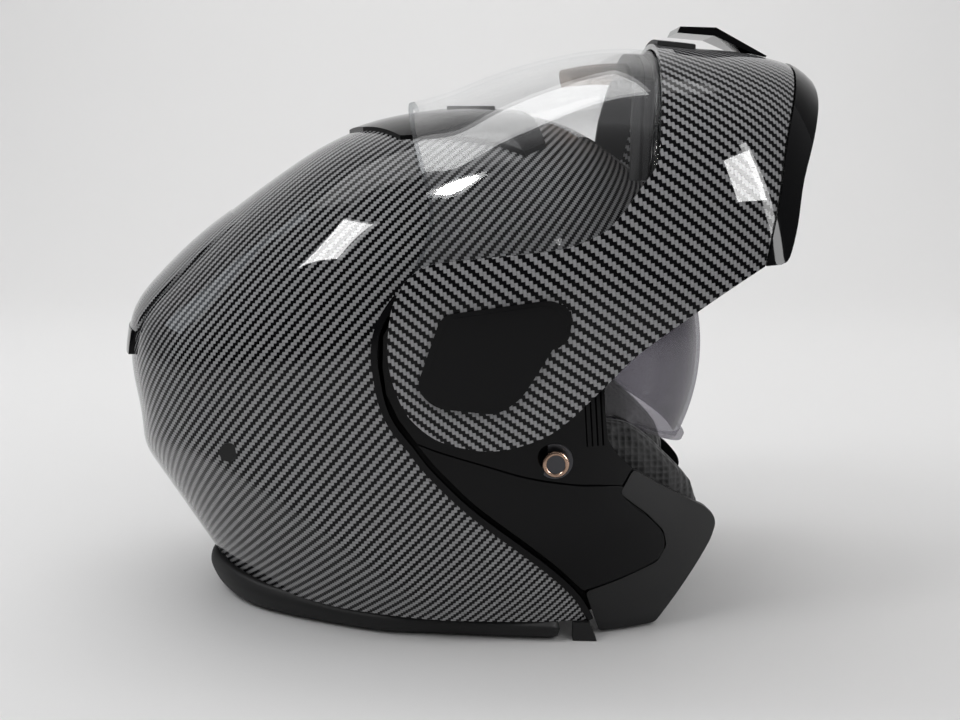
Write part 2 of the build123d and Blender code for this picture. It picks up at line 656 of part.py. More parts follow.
pivot_room = bar(sun_x, sun_z, sun_eye_radius + sun_slot_gap, foam_face,
                 eye_inner + 2 * sun_slot_gap)
pivot_hole = bar(sun_x, sun_z, sun_pin_radius + fit_gap, -shell_half_width, foam_face)
sun_slot = sun_slot + pivot_room + mirror(pivot_room, about=Plane.XZ)

# Foam liner behind and above, and a foam block under each side panel
eps_outer = shell_hull(-shell_wall - liner_gap)
head_room = cavity(0)
eps_liner = (eps_outer - head_room - through(eps_front_cut_shares)
             - through(eps_floor_shares) - sun_slot - plug_hole)
save("eps_liner", largest(eps_liner))
foam_outer = shell_hull(-panel_step - panel_wall - liner_gap)
pad_bay = block(-far, far, foam_face, -foam_face, -far, pad_bay_height)
strap_x = strap_place_share * side_view_height
anchor_top = anchor_top_share * side_view_height


def anchor_rivet(sign, radius):
    """A rivet, or the room for one, through the strap's anchor and up into the side foam."""
    foot = Plane((strap_x + sign * anchor_length / 4, -anchor_half_width + 2 * rivet_radius,
                  anchor_top - anchor_thickness))
    return Solid.make_cylinder(radius, rivet_depth + anchor_thickness, foot)


rivet_room = anchor_rivet(-1, rivet_radius + fit_gap) + anchor_rivet(1, rivet_radius + fit_gap)
side_foam = ((foam_outer & through(side_foam_shares) & outside_of(foam_inner_half_width))
             - head_room - sun_slot
             - pad_bay - pivot_hole - holes - rivet_room)
save_pair("side_foam", largest(side_foam))

# Comfort pads
crown_pad = (cavity(-liner_gap) - cavity(-comfort_thickness)) & through(crown_pad_shares)
save("crown_pad", crown_pad)
neck_roll = (cavity(-liner_gap) - cavity(-neck_thickness, neck_rows)) & through(neck_shares)
save("neck_roll", neck_roll)
cheek_depth = cheek_outer_half_width - cheek_inner_half_width
cheek_pad = Solid.make_loft([cheek_outline(-cheek_inner_half_width - place * cheek_depth, share)
                             for place, share in cheek_section_shares])
cheek_pad = (cheek_pad & foam_outer) - sun_slot
save_pair("cheek_pad", largest(cheek_pad))

# Hinge plates, their screws and the pins that the chin bar turns on
plate_face = -flat_seat_half_width - plate_thickness
hinge_plate = bar(hinge_x, hinge_z, plate_radius, plate_face, -flat_seat_half_width) - holes
save_pair("hinge_plate", hinge_plate)
screws = []
for x, z in screw_places:
    screw = (bar(x, z, screw_radius, plate_face, -flat_seat_half_width + pin_root_depth)
             + bar(x, z, screw_head_radius, plate_face - screw_head_height, plate_face))
    screws = screws + [screw, mirror(screw, about=Plane.XZ)]
save("hinge_screws", Compound(children=screws))
hinge_pin = (bar(hinge_x, hinge_z, hinge_pin_radius, -arm_root_half_width,
                 -flat_seat_half_width + pin_root_depth)
             + bar(hinge_x, hinge_z, hinge_collar_radius, -arm_inner_half_width, plate_face))
save_pair("hinge_pin", hinge_pin)

# Latch stud on its seat
stud = (bar(stud_x, stud_z, stud_neck_radius, -stud_top_half_width,
            -flat_seat_half_width + pin_root_depth)
        + bar(stud_x, stud_z, stud_radius, -stud_top_half_width, -stud_bearing_half_width))
save_pair("latch_stud", stud)
stud_seat = (bar(stud_x, stud_z, stud_seat_radius, -stud_seat_half_width,
                 -flat_seat_half_width + pin_root_depth) - shell_hull(-panel_step)) - stud_hole
save_pair("stud_seat", largest(stud_seat))

# Chin bar: carbon shell, trim, foam, gasket, deflector and vent
chin_outer = chin_hull(0)
chin_inner = chin_hull(-chin_bar_wall)
chin_bar = band_between(chin_outer, chin_inner, chin_bar_shares)
arm_holes = bar(hinge_x, hinge_z, hinge_pin_radius + running_gap, -far_y, -shell_half_width)
arm_holes = arm_holes + bar(visor_x, visor_z, visor_pin_radius + fit_gap,
                            -arm_root_half_width - fit_gap, -shell_half_width)


def swung(x_step, z_step):
    """A side view direction of the shut chin bar, as it points once the bar is up."""
    turn = math.radians(closing_angle)
    return (x_step * math.cos(turn) - z_step * math.sin(turn),
            x_step * math.sin(turn) + z_step * math.cos(turn))


stud_reach = math.hypot(stud_x - hinge_x, stud_z - hinge_z)
outward = swung((stud_x - hinge_x) / stud_reach, (stud_z - hinge_z) / stud_reach)
shutting = (outward[1], -outward[0])
catch_x, catch_z = hinge_x + outward[0] * stud_reach, hinge_z + outward[1] * stud_reach


def latch_point(along, out):
    """A point of the open chin bar's side view: along the shutting way and outward."""
    return (catch_x + shutting[0] * along + outward[0] * out,
            catch_z + shutting[1] * along + outward[1] * out)


hook_x, hook_z = latch_point(-hook_pin_behind, hook_pin_outside)
arm_holes = arm_holes + bar(hook_x, hook_z, hook_pin_radius + fit_gap,
                            -arm_root_half_width - fit_gap, -stud_bearing_half_width)
chin_bar = chin_bar - arm_holes - mirror(arm_holes, about=Plane.XZ)
save("chin_bar_shell", chin_bar)
trim_inner = chin_hull(-trim_depth)
save("chin_bar_trim", band_between(chin_hull(trim_rise), trim_inner, trim_shares))
chin_foam_outer = chin_hull(-chin_bar_wall - liner_gap)
chin_foam = band_between(chin_foam_outer, chin_hull(-chin_foam_depth), chin_foam_shares)
save("chin_bar_liner", chin_foam)
gasket_outer = visor_hull(-visor_wall - 2 * liner_gap)
gasket_inner = visor_hull(-visor_wall - 2 * liner_gap - gasket_depth)
gasket = (gasket_outer & chin_foam_outer & through(gasket_shares)) - gasket_inner
groove_floor = visor_hull(-visor_wall - 2 * liner_gap - rib_depth)
for start_share in rib_groove_shares:
    groove = [(x + start_share, z) for x, z in rib_line_shares]
    groove = groove + [(x + start_share + rib_groove_width_share, z)
                       for x, z in rib_line_shares[::-1]]
    gasket = gasket - (through(groove) - groove_floor)
save("eye_port_gasket", largest(gasket))
deflector_outer = visor_hull(-visor_wall - 3 * liner_gap - gasket_depth)
deflector_inner = visor_hull(-visor_wall - 3 * liner_gap - gasket_depth - deflector_wall)
deflector = (band_between(deflector_outer, deflector_inner, deflector_shares)
             & across(deflector_half_width))
save("breath_deflector", deflector)
cover_inner = chin_hull(cover_gap)
cover_outer = chin_hull(cover_gap + cover_thickness)
vent_block = prism(outline(chin_vent_shares), -chin_vent_half_width, chin_vent_half_width)
save("chin_vent_housing", (cover_outer & vent_block) - cover_inner)
chin_slider = prism(outline(chin_slider_shares), -chin_slider_half_width,
                    chin_slider_half_width) - cover_inner
save("chin_vent_slider", largest(chin_slider))

# Side covers over the pivots
side_cover = band_between(cover_outer, cover_inner, cover_shares) & right_box
save_pair("side_cover", side_cover)

# Clear visor and its pivot pins
visor_pin_hole = bar(visor_x, visor_z, visor_pin_radius + running_gap, -far_y,
                     -shell_half_width / 2)
visor = band_between(visor_hull(0), visor_hull(-visor_wall), visor_shares)
visor = visor - visor_pin_hole - mirror(visor_pin_hole, about=Plane.XZ)
save("visor_lens", visor)
visor_pin = (bar(visor_x, visor_z, visor_pin_radius, -arm_root_half_width,
                 -stud_top_half_width - fit_gap)
             + bar(visor_x, visor_z, visor_pin_head_radius,
                   -stud_top_half_width - fit_gap - visor_pin_head_height,
                   -stud_top_half_width - fit_gap))
save("visor_pivot_pins", Compound(children=[visor_pin, mirror(visor_pin, about=Plane.XZ)]))

# Latch hooks, swung clear of the studs by the release button
jaw = stud_neck_radius + running_gap
jaw_side = jaw + hook_claw_overlap
hook_back = -hook_half_width + hook_thickness
hook_arm = prism([latch_point(-hook_pin_behind, hook_pin_outside - hook_eye_radius),
                  latch_point(jaw, jaw_side),
                  latch_point(jaw, -hook_claw_overlap),
                  latch_point(jaw + hook_claw_length, -hook_claw_overlap),
                  latch_point(jaw + hook_arm_width, jaw_side),
                  latch_point(jaw, jaw_side + hook_arm_width),
                  latch_point(-hook_pin_behind, hook_pin_outside + hook_eye_radius)],
                 -hook_half_width, hook_back)
hook = (hook_arm + bar(hook_x, hook_z, hook_eye_radius, -hook_half_width, hook_back)
        - bar(hook_x, hook_z, hook_pin_radius + running_gap, -far_y, -shell_half_width / 2))
save_pair("latch_hook", hook)
hook_pin = (bar(hook_x, hook_z, hook_pin_radius, -arm_root_half_width, -pin_head_half_width)
            + bar(hook_x, hook_z, hook_shoulder_radius, -hook_shoulder_half_width,
                  -hook_half_width - running_gap)
            + bar(hook_x, hook_z, hook_shoulder_radius, hook_back + running_gap / 2,
                  -pin_head_half_width))
save("latch_hook_pins", Compound(children=[hook_pin, mirror(hook_pin, about=Plane.XZ)]))

# Release button and its housing, behind the trim in the middle
button_turn = math.radians(button_angle)
reach_dir = (math.cos(button_turn), math.sin(button_turn))
press_dir = (reach_dir[1], -reach_dir[0])


def button_block(along_from, along_to, out_from, out_to, half_width):
    """A block behind the trim: along the button's slide, and out from the hinge."""
    corners = [(along_from, out_from), (along_to, out_from), (along_to, out_to),
               (along_from, out_to)]
    points = [(hinge_x + press_dir[0] * along + reach_dir[0] * out,
               hinge_z + press_dir[1] * along + reach_dir[1] * out)
              for along, out in corners]
    return prism(points, -half_width, half_width)


button_out = button_reach_share * side_view_height
room = button_depth / 2 + running_gap
housing = button_block(0, button_length + button_wall, button_out - room - button_wall,
                       button_out + room + overrun,
                       button_half_width + running_gap + button_wall) & trim_inner
housing = housing - button_block(button_wall, button_length + overrun, button_out - room,
                                 button_out + room, button_half_width + running_gap)
save("release_housing", largest(housing))
button = button_block(button_wall + running_gap + button_travel,
                      button_wall + running_gap + button_travel + button_length,
                      button_out - button_depth / 2, button_out + button_depth / 2,
                      button_half_width)
save("release_button", button)

# Chin strap: anchors under the side foam, two webs, and a ratchet buckle
anchor = block(strap_x - anchor_length / 2, strap_x + anchor_length / 2, -anchor_half_width,
               -anchor_half_width + anchor_width, anchor_top - anchor_thickness, anchor_top)
rivets = [anchor_rivet(sign, rivet_radius) for sign in (-1, 1)]
anchor = anchor - rivet_room
save_pair("strap_anchor", anchor)
save("anchor_rivets", Compound(children=rivets + [mirror(rivet, about=Plane.XZ)
                                                  for rivet in rivets]))
buckle_floor = buckle_floor_share * side_view_height
web_end_z = buckle_floor + buckle_wall + fit_gap
web_top_z = anchor_top - anchor_thickness - strap_thickness - fit_gap
half_length = buckle_length / 2
right_web = [(-anchor_half_width + anchor_width / 2, web_top_z),
             (-anchor_half_width + anchor_width, web_top_z),
             (-half_length - strap_thickness, web_end_z), (-half_length / 2, web_end_z)]
tongue_top = web_end_z + tongue_thickness
left_web = [(anchor_half_width - anchor_width / 2, web_top_z),
            (anchor_half_width - anchor_width, web_top_z),
            (tongue_length - half_length / 2 + strap_thickness, tongue_top + fit_gap),
            (half_length + strap_thickness, tongue_top + fit_gap)]
save("chin_strap_right", sweep_strap(right_web, strap_x))
save("chin_strap_left", sweep_strap(left_web, strap_x))
wall_x = buckle_width / 2
base = block(strap_x - wall_x, strap_x + wall_x, -half_length, half_length, buckle_floor,
             buckle_floor + buckle_wall)
for start in (strap_x - wall_x, strap_x + wall_x - buckle_wall):
    base = base + block(start, start + buckle_wall, -half_length, half_length, buckle_floor,
                        buckle_floor + buckle_height)
pin_y = half_length - buckle_eye_radius - buckle_wall
pin_z = buckle_floor + buckle_height - buckle_eye_radius


def cross_bar(radius, half):
    """A round bar along X at the buckle's lever pin."""
    return Solid.make_cylinder(radius, 2 * half,
                               Plane((strap_x - half, pin_y, pin_z), (0, 1, 0), (1, 0, 0)))


save("buckle_base", base - cross_bar(buckle_pin_radius + fit_gap, wall_x + overrun))
save("buckle_pin", cross_bar(buckle_pin_radius, wall_x))
lever_half = wall_x - buckle_wall - running_gap
lever = (block(strap_x - lever_half, strap_x + lever_half, -half_length - buckle_wall, pin_y,
               pin_z, pin_z + strap_thickness)
         + cross_bar(buckle_eye_radius, lever_half)
         - cross_bar(buckle_pin_radius + running_gap, wall_x + overrun))
save("buckle_lever", lever)
tongue = block(strap_x - tongue_width / 2, strap_x + tongue_width / 2,
               -half_length / 2 + strap_thickness,
               tongue_length - half_length / 2 + strap_thickness, web_end_z, tongue_top)
tooth_pitch = 2 * strap_thickness
for index in range(tooth_count):
    start = -half_length / 2 + strap_thickness + index * tooth_pitch
    ridge = make_face(Polyline([(strap_x - tongue_width / 2, start, tongue_top),
                                (strap_x - tongue_width / 2, start + tooth_pitch, tongue_top),
                                (strap_x - tongue_width / 2, start, tongue_top + tooth_height)],
                               close=True))
    tongue = tongue + extrude(ridge, amount=tongue_width, dir=(1, 0, 0))
save("ratchet_tongue", tongue)
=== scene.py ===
import bpy, bmesh, json, math
import numpy as np
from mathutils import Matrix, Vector
from mathutils.bvhtree import BVHTree


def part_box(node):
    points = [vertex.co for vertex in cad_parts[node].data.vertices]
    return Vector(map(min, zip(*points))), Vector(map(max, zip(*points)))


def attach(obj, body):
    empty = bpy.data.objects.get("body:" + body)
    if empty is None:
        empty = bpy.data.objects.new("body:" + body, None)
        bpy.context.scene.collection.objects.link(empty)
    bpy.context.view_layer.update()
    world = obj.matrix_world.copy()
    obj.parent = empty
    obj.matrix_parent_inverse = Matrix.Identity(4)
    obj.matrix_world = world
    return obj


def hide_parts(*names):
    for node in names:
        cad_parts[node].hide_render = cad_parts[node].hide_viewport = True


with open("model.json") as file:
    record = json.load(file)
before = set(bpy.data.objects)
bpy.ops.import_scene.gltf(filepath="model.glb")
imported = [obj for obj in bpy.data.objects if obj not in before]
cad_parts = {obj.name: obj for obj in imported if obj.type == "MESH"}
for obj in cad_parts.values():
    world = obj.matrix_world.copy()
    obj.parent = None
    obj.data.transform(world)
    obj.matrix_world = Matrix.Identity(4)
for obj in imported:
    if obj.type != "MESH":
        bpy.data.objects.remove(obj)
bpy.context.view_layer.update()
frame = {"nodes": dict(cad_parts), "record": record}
nodes = frame["nodes"]

# Finer skins over the CAD solids, then materials, lamps, world, floor and camera.
# Lengths are in millimetres unless a comment says metres, and points that are given to mm()
# are shares of the side view's height H.
MM = 0.001
H = 250.0
FAR = 400.0
HALF_SPAN = 200
WHOLE_WIDTH = (-HALF_SPAN, HALF_SPAN)
RIGHT_HALF = (-HALF_SPAN, -1)

# The hulls: how far their side view reaches, as a share, at degrees round their axis
HINGE = (3.0, 140.0)
VISOR_AXIS = (-10.0, 130.0)
SHELL = [(-174, .699), (-166, .702), (-157.6, .728), (-147, .770), (-135, .810), (-120, .790),
         (-107, .760), (-90, .750), (-75, .780), (-62, .816), (-50, .800), (-40, .752), (-28, .660),
         (-15, .584), (0, .524), (15, .480), (30, .452), (45, .440), (60, .433), (75, .423),
         (85, .417), (96, .418), (106.7, .424), (123.6, .447), (136.6, .469), (149, .504),
         (159.6, .557), (165, .590), (170.7, .630), (174.8, .662), (180, .688)]
CHIN = [(-160, .560), (-120, .580), (-80, .620), (-40, .700), (-10, .780), (10, .816), (25, .828),
        (33, .826), (36, .821), (39.5, .806), (42, .784), (45, .756), (50, .708), (57, .658),
        (66, .610), (75, .580), (100, .560), (140, .555), (180, .555)]
VISOR = [(-150, .540), (-110, .600), (-60, .720), (-10, .800), (20, .800), (45, .760),
         (55.4, .704), (62, .658), (70, .600), (80, .540), (90, .496), (98.6, .482), (115, .476),
         (140, .488), (180, .520)]
SHELL_HULL = {"table": SHELL, "half_width": 116.0, "fullness": 2.8, "axis": HINGE,
              "drift": (-.100, -.024), "flared": True}
CHIN_HULL = {"table": CHIN, "half_width": 123.4, "fullness": 3.2, "axis": HINGE,
             "drift": (0, 0), "flared": False}
VISOR_HULL = {"table": VISOR, "half_width": 119.5, "fullness": 3.6, "axis": VISOR_AXIS,
              "drift": (0, 0), "flared": False}
POLE = 89.2                 # degrees across the width at which a hull is closed off

# How many points a hull has round its axis and across its width
SHELL_GRID = (320, 230)
CHIN_GRID = (260, 120)
VISOR_GRID = (240, 110)
PANEL_GRID = (260, 150)

# The skirt seen from above holds the shell in low down, and the wall leans out above its foot
SKIRT = [(-170, .488), (-151, .442), (-120, .389), (-100, .382), (-73, .420), (-58, .484),
         (-33, .660), (0, .700), (33, .660), (58, .484), (73, .420), (100, .382), (120, .389),
         (151, .442), (170, .488), (180, .504)]
SKIRT_LEAN = .62
SKIRT_FOOT = .044
SKIRT_BLEND = 3.5
SEARCH_STEPS = 26
SEARCH_REACH = 1.6

# The crown's crease: degrees round the hinge, and how far from the middle it runs
RIDGE = [(49.4, 60), (72.5, 83), (87.7, 86), (107.7, 89), (124.9, 92), (139.6, 91), (152.7, 88),
         (163.9, 85.5), (168.8, 84), (174.8, 80), (179.6, 73), (184, 66)]
CROWN_RISE, CROWN_EDGE = .9, 1.6
SHOULDER_RISE, SHOULDER_WIDTH = .8, 16.0
CROWN_FROM, CROWN_FROM_SPAN = 46, 20
CROWN_TO, CROWN_TO_SPAN = 181, 4
BACK_FROM, BACK_FROM_SPAN = 146, 22
BACK_TO, BACK_TO_SPAN = 232, 30
BACK_SIDE_FULL, BACK_SIDE_END, BACK_SIDE_SPAN = 55, 112, 25
BACK_SIDE_CUT, BACK_MIDDLE_CUT = 2.9, .6

# Walls, and where the panels lie below the shell's face
SHELL_WALL = 3.2
CHIN_WALL = 3.0
LENS_WALL = 2.2
PANEL_STEP = 4.2
PANEL_WALL = 2.6
PANEL_FLAT = 109.8

# Degrees between faces from which an edge is bevelled, and from which it stays sharp
BEVEL_ANGLE = 40
SKIN_SHARP = 50
CAD_SHARP = 32

# Where the weave is spread from, on each side
SHELL_MIDDLE = (-40.0, 110.0)
CHIN_MIDDLE = (60.0, 190.0)


def closed_spline(table, angles):
    """Smooth values of a closed table of (degrees, value) at the given angles in degrees."""
    rows = sorted(table)
    x = np.array([r[0] for r in rows], float)
    y = np.array([r[1] for r in rows], float)
    n = len(x)
    h = np.diff(np.append(x, x[0] + 360))
    a = np.zeros((n, n))
    rhs = np.zeros(n)
    for i in range(n):
        before = h[i - 1]
        a[i, i - 1] += before
        a[i, i] += 2 * (before + h[i])
        a[i, (i + 1) % n] += h[i]
        rhs[i] = 6 * ((y[(i + 1) % n] - y[i]) / h[i] - (y[i] - y[i - 1]) / before)
    m = np.linalg.solve(a, rhs)
    q = (np.asarray(angles, float) - x[0]) % 360 + x[0]
    i = np.clip(np.searchsorted(x, q, side="right") - 1, 0, n - 1)
    j = (i + 1) % n
    t = q - x[i]
    hi = h[i]
    s = hi - t
    return (m[i] * s ** 3 / (6 * hi) + m[j] * t ** 3 / (6 * hi)
            + (y[i] / hi - m[i] * hi / 6) * s + (y[j] / hi - m[j] * hi / 6) * t)


def ramp(value, start, span):
    """0 before start, 1 a span later, and straight between; a negative span runs the other way."""
    return np.clip((value - start) / span, 0, 1)


def eased(t):
    """A share that starts and ends softly."""
    return t * t * (3 - 2 * t)


def shell_extra(turn, y):
    """A raised crown between two creases, and a back that is a little rounder, in millimetres."""
    deg = np.degrees(turn) % 360
    out = np.abs(y)
    line = np.interp(deg, [r[0] for r in RIDGE], [r[1] for r in RIDGE])
    fade = ramp(deg, CROWN_FROM, CROWN_FROM_SPAN) * ramp(deg, CROWN_TO, -CROWN_TO_SPAN)
    inside = np.clip(.5 + (line - out) / CROWN_EDGE, 0, 1)
    outside = ramp(out, line, SHOULDER_WIDTH)
    step = fade * (CROWN_RISE * inside + SHOULDER_RISE * (1 - inside) * (1 - outside) ** 2)
    back = eased(ramp(deg, BACK_FROM, BACK_FROM_SPAN) * ramp(deg, BACK_TO, -BACK_TO_SPAN))
    side = ramp(out, 0, BACK_SIDE_FULL) * ramp(out, BACK_SIDE_END, -BACK_SIDE_SPAN)
    return step - BACK_SIDE_CUT * back * side - BACK_MIDDLE_CUT * back


def within_skirt(R, T, Y, middle_x, middle_z, grow):
    """The reach R, held back smoothly where it would pass the skirt."""
    near, far = np.zeros_like(R), R * SEARCH_REACH
    for _ in range(SEARCH_STEPS):
        mid = (near + far) / 2
        X, Z = middle_x + mid * np.cos(T), middle_z + mid * np.sin(T)
        way = np.degrees(np.arctan2(np.abs(Y), X))
        reach = closed_spline(SKIRT, way) * H + grow + SKIRT_LEAN * (Z - SKIRT_FOOT * H)
        held = np.hypot(X, Y) < reach
        near, far = np.where(held, mid, near), np.where(held, far, mid)
    d = np.clip(.5 + .5 * (near - R) / SKIRT_BLEND, 0, 1)
    return near * (1 - d) + R * d - SKIRT_BLEND * d * (1 - d)


def hull_grid(hull, grow, rounds, rows, extra=None):
    """Points of a hull, grown by some millimetres: round its axis, and across its width."""
    turn = np.radians(np.arange(rounds) * 360.0 / rounds)
    share = closed_spline(hull["table"], np.degrees(turn))
    lean = np.sin(np.radians(np.linspace(-POLE, POLE, rows)))
    shrink = (1 - lean ** 2) ** (1 / hull["fullness"])
    T, L = np.meshgrid(turn, lean, indexing="ij")
    R = (share[:, None] * H + grow) * shrink[None, :]
    middle_x = hull["axis"][0] + hull["drift"][0] * H * L ** 2
    middle_z = hull["axis"][1] + hull["drift"][1] * H * L ** 2
    Y = (hull["half_width"] + grow) * L
    if extra is not None:
        R = R + extra(T, Y)
    if hull["flared"]:
        R = within_skirt(R, T, Y, middle_x, middle_z, grow)
    return middle_x + R * np.cos(T), Y, middle_z + R * np.sin(T)


def mesh_object(name, verts, faces):
    """A new object from points in metres, with its faces turned outwards."""
    me = bpy.data.meshes.new(name)
    me.from_pydata(verts, [], faces)
    bm = bmesh.new()
    bm.from_mesh(me)
    bmesh.ops.recalc_face_normals(bm, faces=bm.faces)
    bm.to_mesh(me)
    bm.free()
    o = bpy.data.objects.new(name, me)
    bpy.context.scene.collection.objects.link(o)
    return o


def grid_mesh(name, X, Y, Z):
    """A closed mesh from a grid that is periodic in its first direction."""
    n, m = X.shape
    verts = np.stack([X, Y, Z], -1).reshape(-1, 3) * MM
    idx = np.arange(n * m).reshape(n, m)
    after = np.roll(idx, -1, 0)
    quads = np.stack([idx[:, :-1], after[:, :-1], after[:, 1:], idx[:, 1:]], -1).reshape(-1, 4)
    faces = quads.tolist() + [idx[::-1, -1].tolist(), idx[:, 0].tolist()]
    return mesh_object(name, verts.tolist(), faces)


def prism(name, points, y0, y1):
    """A solid from a side view outline in millimetres."""
    n = len(points)
    verts = [(x * MM, y * MM, z * MM) for y in (y0, y1) for x, z in points]
    faces = [list(range(n)), list(range(2 * n - 1, n - 1, -1))]
    faces += [[i, i + n, (i + 1) % n + n, (i + 1) % n] for i in range(n)]
    return mesh_object(name, verts, faces)


def tube_faces(n, m, closed=False):
    """The faces of n rings of m points each, with two end caps unless it closes on itself."""
    faces = []
    for i in range(n if closed else n - 1):
        a, b = i * m, (i + 1) % n * m
        for j in range(m):
            k = (j + 1) % m
            faces.append((a + j, a + k, b + k, b + j))
    if not closed:
        faces.append(tuple(range(m)))
        faces.append(tuple(reversed(range((n - 1) * m, n * m))))
    return faces


def smooth_shaded(o):
    """Shades o smoothly between its sharp edges."""
    for p in o.data.polygons:
        p.use_smooth = True
    return o


def baked(o):
    """Applies the object's modifiers to its mesh."""
    bpy.context.view_layer.update()
    deps = bpy.context.evaluated_depsgraph_get()
    me = bpy.data.meshes.new_from_object(o.evaluated_get(deps))
    o.modifiers.clear()
    old = o.data
    o.data = me
    bpy.data.meshes.remove(old)
    return o


def subdivided(o):
    """Divides every face of o once, smoothly."""
    mod = o.modifiers.new("smooth", "SUBSURF")
    mod.levels = mod.render_levels = 1
    return baked(o)


def copied(o, name):
    """A copy of o with a mesh of its own."""
    c = o.copy()
    c.data = o.data.copy()
    c.name = c.data.name = name
    bpy.context.scene.collection.objects.link(c)
    return c


def drop(*objs):
    """Deletes objects with their meshes."""
    for o in objs:
        me = o.data
        bpy.data.objects.remove(o)
        bpy.data.meshes.remove(me)


def boolean(o, cutter, how="DIFFERENCE"):
    """Cuts o with the cutter, which is used up."""
    mod = o.modifiers.new("cut", "BOOLEAN")
    mod.operation = how
    mod.solver = "EXACT"
    mod.object = cutter
    baked(o)
    drop(cutter)
    return o


# Outlines in the side view
def mm(points):
    """Shares of the height as millimetres."""
    return [(x * H, z * H) for x, z in points]


LEAST_CORNER = .2
CORNER_SHARE = .45


def rounded(points, radius, steps=5):
    """An outline with its corners rounded."""
    out = []
    n = len(points)
    for i, p in enumerate(points):
        p = Vector(p)
        a, b = Vector(points[i - 1]) - p, Vector(points[(i + 1) % n]) - p
        r = min(radius, a.length * CORNER_SHARE, b.length * CORNER_SHARE)
        if r < LEAST_CORNER:
            out.append(tuple(p))
            continue
        u, v = p + a.normalized() * r, p + b.normalized() * r
        for k in range(steps + 1):
            t = k / steps
            out.append(tuple(u * (1 - t) ** 2 + p * 2 * t * (1 - t) + v * t ** 2))
    return out


def smooth_line(points, per):
    """A curve through points: an open Catmull-Rom line, with some steps per span."""
    P = [Vector(p) for p in points]
    out = []
    for i in range(len(P) - 1):
        p0 = P[i - 1] if i else P[0] * 2 - P[1]
        p3 = P[i + 2] if i + 2 < len(P) else P[-1] * 2 - P[-2]
        for k in range(per):
            t = k / per
            q = .5 * ((2 * P[i]) + (P[i + 1] - p0) * t + (2 * p0 - 5 * P[i] + 4 * P[i + 1] - p3) * t * t
                      + (3 * P[i] - p0 - 3 * P[i + 1] + p3) * t ** 3)
            out.append(tuple(q))
    out.append(tuple(P[-1]))
    return out


def strip(line, out, inward):
    """The outline of a narrow band beside a line, whose left side is outside."""
    outer, inner = [], []
    for i, p in enumerate(line):
        a, b = Vector(line[max(i - 1, 0)]), Vector(line[min(i + 1, len(line) - 1)])
        side = (b - a).normalized().orthogonal()
        outer.append(tuple(Vector(p) + side * out))
        inner.append(tuple(Vector(p) - side * inward))
    return outer + inner[::-1]


def shrunk(points, share):
    """An outline drawn in towards its middle."""
    x0 = sum(x for x, z in points) / len(points)
    z0 = sum(z for x, z in points) / len(points)
    return [(x0 + (x - x0) * share, z0 + (z - z0) * share) for x, z in points]


# Pieces cut from the hulls
NEAR_HULL = .00012          # metres within which a corner counts as lying on a hull
SAME_WAY = .8


def nearest_normal(point, sources):
    """The smooth normal of the nearest of some hulls, or None where none is near."""
    best, best_far = None, None
    for tree, polys, normals, verts in sources:
        hit, _, face, far = tree.find_nearest(point, NEAR_HULL)
        if hit is None or (best is not None and far >= best_far):
            continue
        total = Vector()
        for q in polys[face]:
            total += normals[q] / ((verts[q] - hit).length + 1e-7)
        best, best_far = total.normalized(), far
    return best


def hull_normals(o, hulls):
    """Gives o the smooth normals of the uncut forms that it was cut from."""
    me = o.data
    sources = []
    for src in hulls:
        verts = [v.co for v in src.data.vertices]
        polys = [tuple(p.vertices) for p in src.data.polygons if len(p.vertices) < 5]
        normals = [v.normal.copy() for v in src.data.vertices]
        sources.append((BVHTree.FromPolygons(verts, polys), polys, normals, verts))
    found = [nearest_normal(v.co, sources) for v in me.vertices]
    result = [Vector(n.vector) for n in me.corner_normals]
    for p in me.polygons:
        for corner in p.loop_indices:
            n = found[me.loops[corner].vertex_index]
            if n is not None and abs(n.dot(p.normal)) > SAME_WAY:
                result[corner] = n if n.dot(p.normal) > 0 else -n
    me.normals_split_custom_set(result)


def band(name, form, outer, inner, outline, bevel, span=WHOLE_WIDTH, segments=3, cuts=()):
    """The wall between two growths of one hull, inside a side view outline, less the cuts."""
    out_o = form(name, outer)
    in_o = form(name + "_inner", inner)
    o = copied(out_o, name)
    boolean(o, prism("cutter", outline, *span), "INTERSECT")
    boolean(o, copied(in_o, "cutter"))
    for cut in cuts:
        boolean(o, prism("cutter", cut, *WHOLE_WIDTH))
    mod = o.modifiers.new("bevel", "BEVEL")
    mod.width = bevel * MM
    mod.segments = segments
    mod.limit_method = "ANGLE"
    mod.angle_limit = math.radians(BEVEL_ANGLE)
    mod.use_clamp_overlap = True
    baked(o)
    smooth_shaded(o)
    o.data.set_sharp_from_angle(angle=math.radians(SKIN_SHARP))
    hull_normals(o, [out_o, in_o])
    drop(out_o, in_o)
    o.name = o.data.name = name
    o.data.materials.clear()
    return o


def dress(o, body, mat, slot, *replaced):
    """Gives a piece its material and the body that it rides on, and hides the nodes it replaces; the slot is
    not used.
    """
    o.data.materials.append(mat)
    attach(o, body)
    if replaced:
        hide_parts(*replaced)
    return o


def joined(name, objs):
    """One mesh of several, with their normals kept."""
    with bpy.context.temp_override(active_object=objs[0], object=objs[0], selected_objects=objs,
                                   selected_editable_objects=objs):
        bpy.ops.object.join()
    objs[0].name = objs[0].data.name = name
    return objs[0]


def mirrored(o, name):
    """A copy on the other side, with its normals mirrored too."""
    c = copied(o, name)
    normals = [(n.vector[0], -n.vector[1], n.vector[2]) for n in c.data.corner_normals]
    loops = [[normals[i] for i in p.loop_indices] for p in c.data.polygons]
    for v in c.data.vertices:
        v.co.y = -v.co.y
    c.data.flip_normals()
    turned = []
    for corners in loops:
        turned.extend([corners[0]] + corners[:0:-1])
    c.data.normals_split_custom_set(turned)
    return c


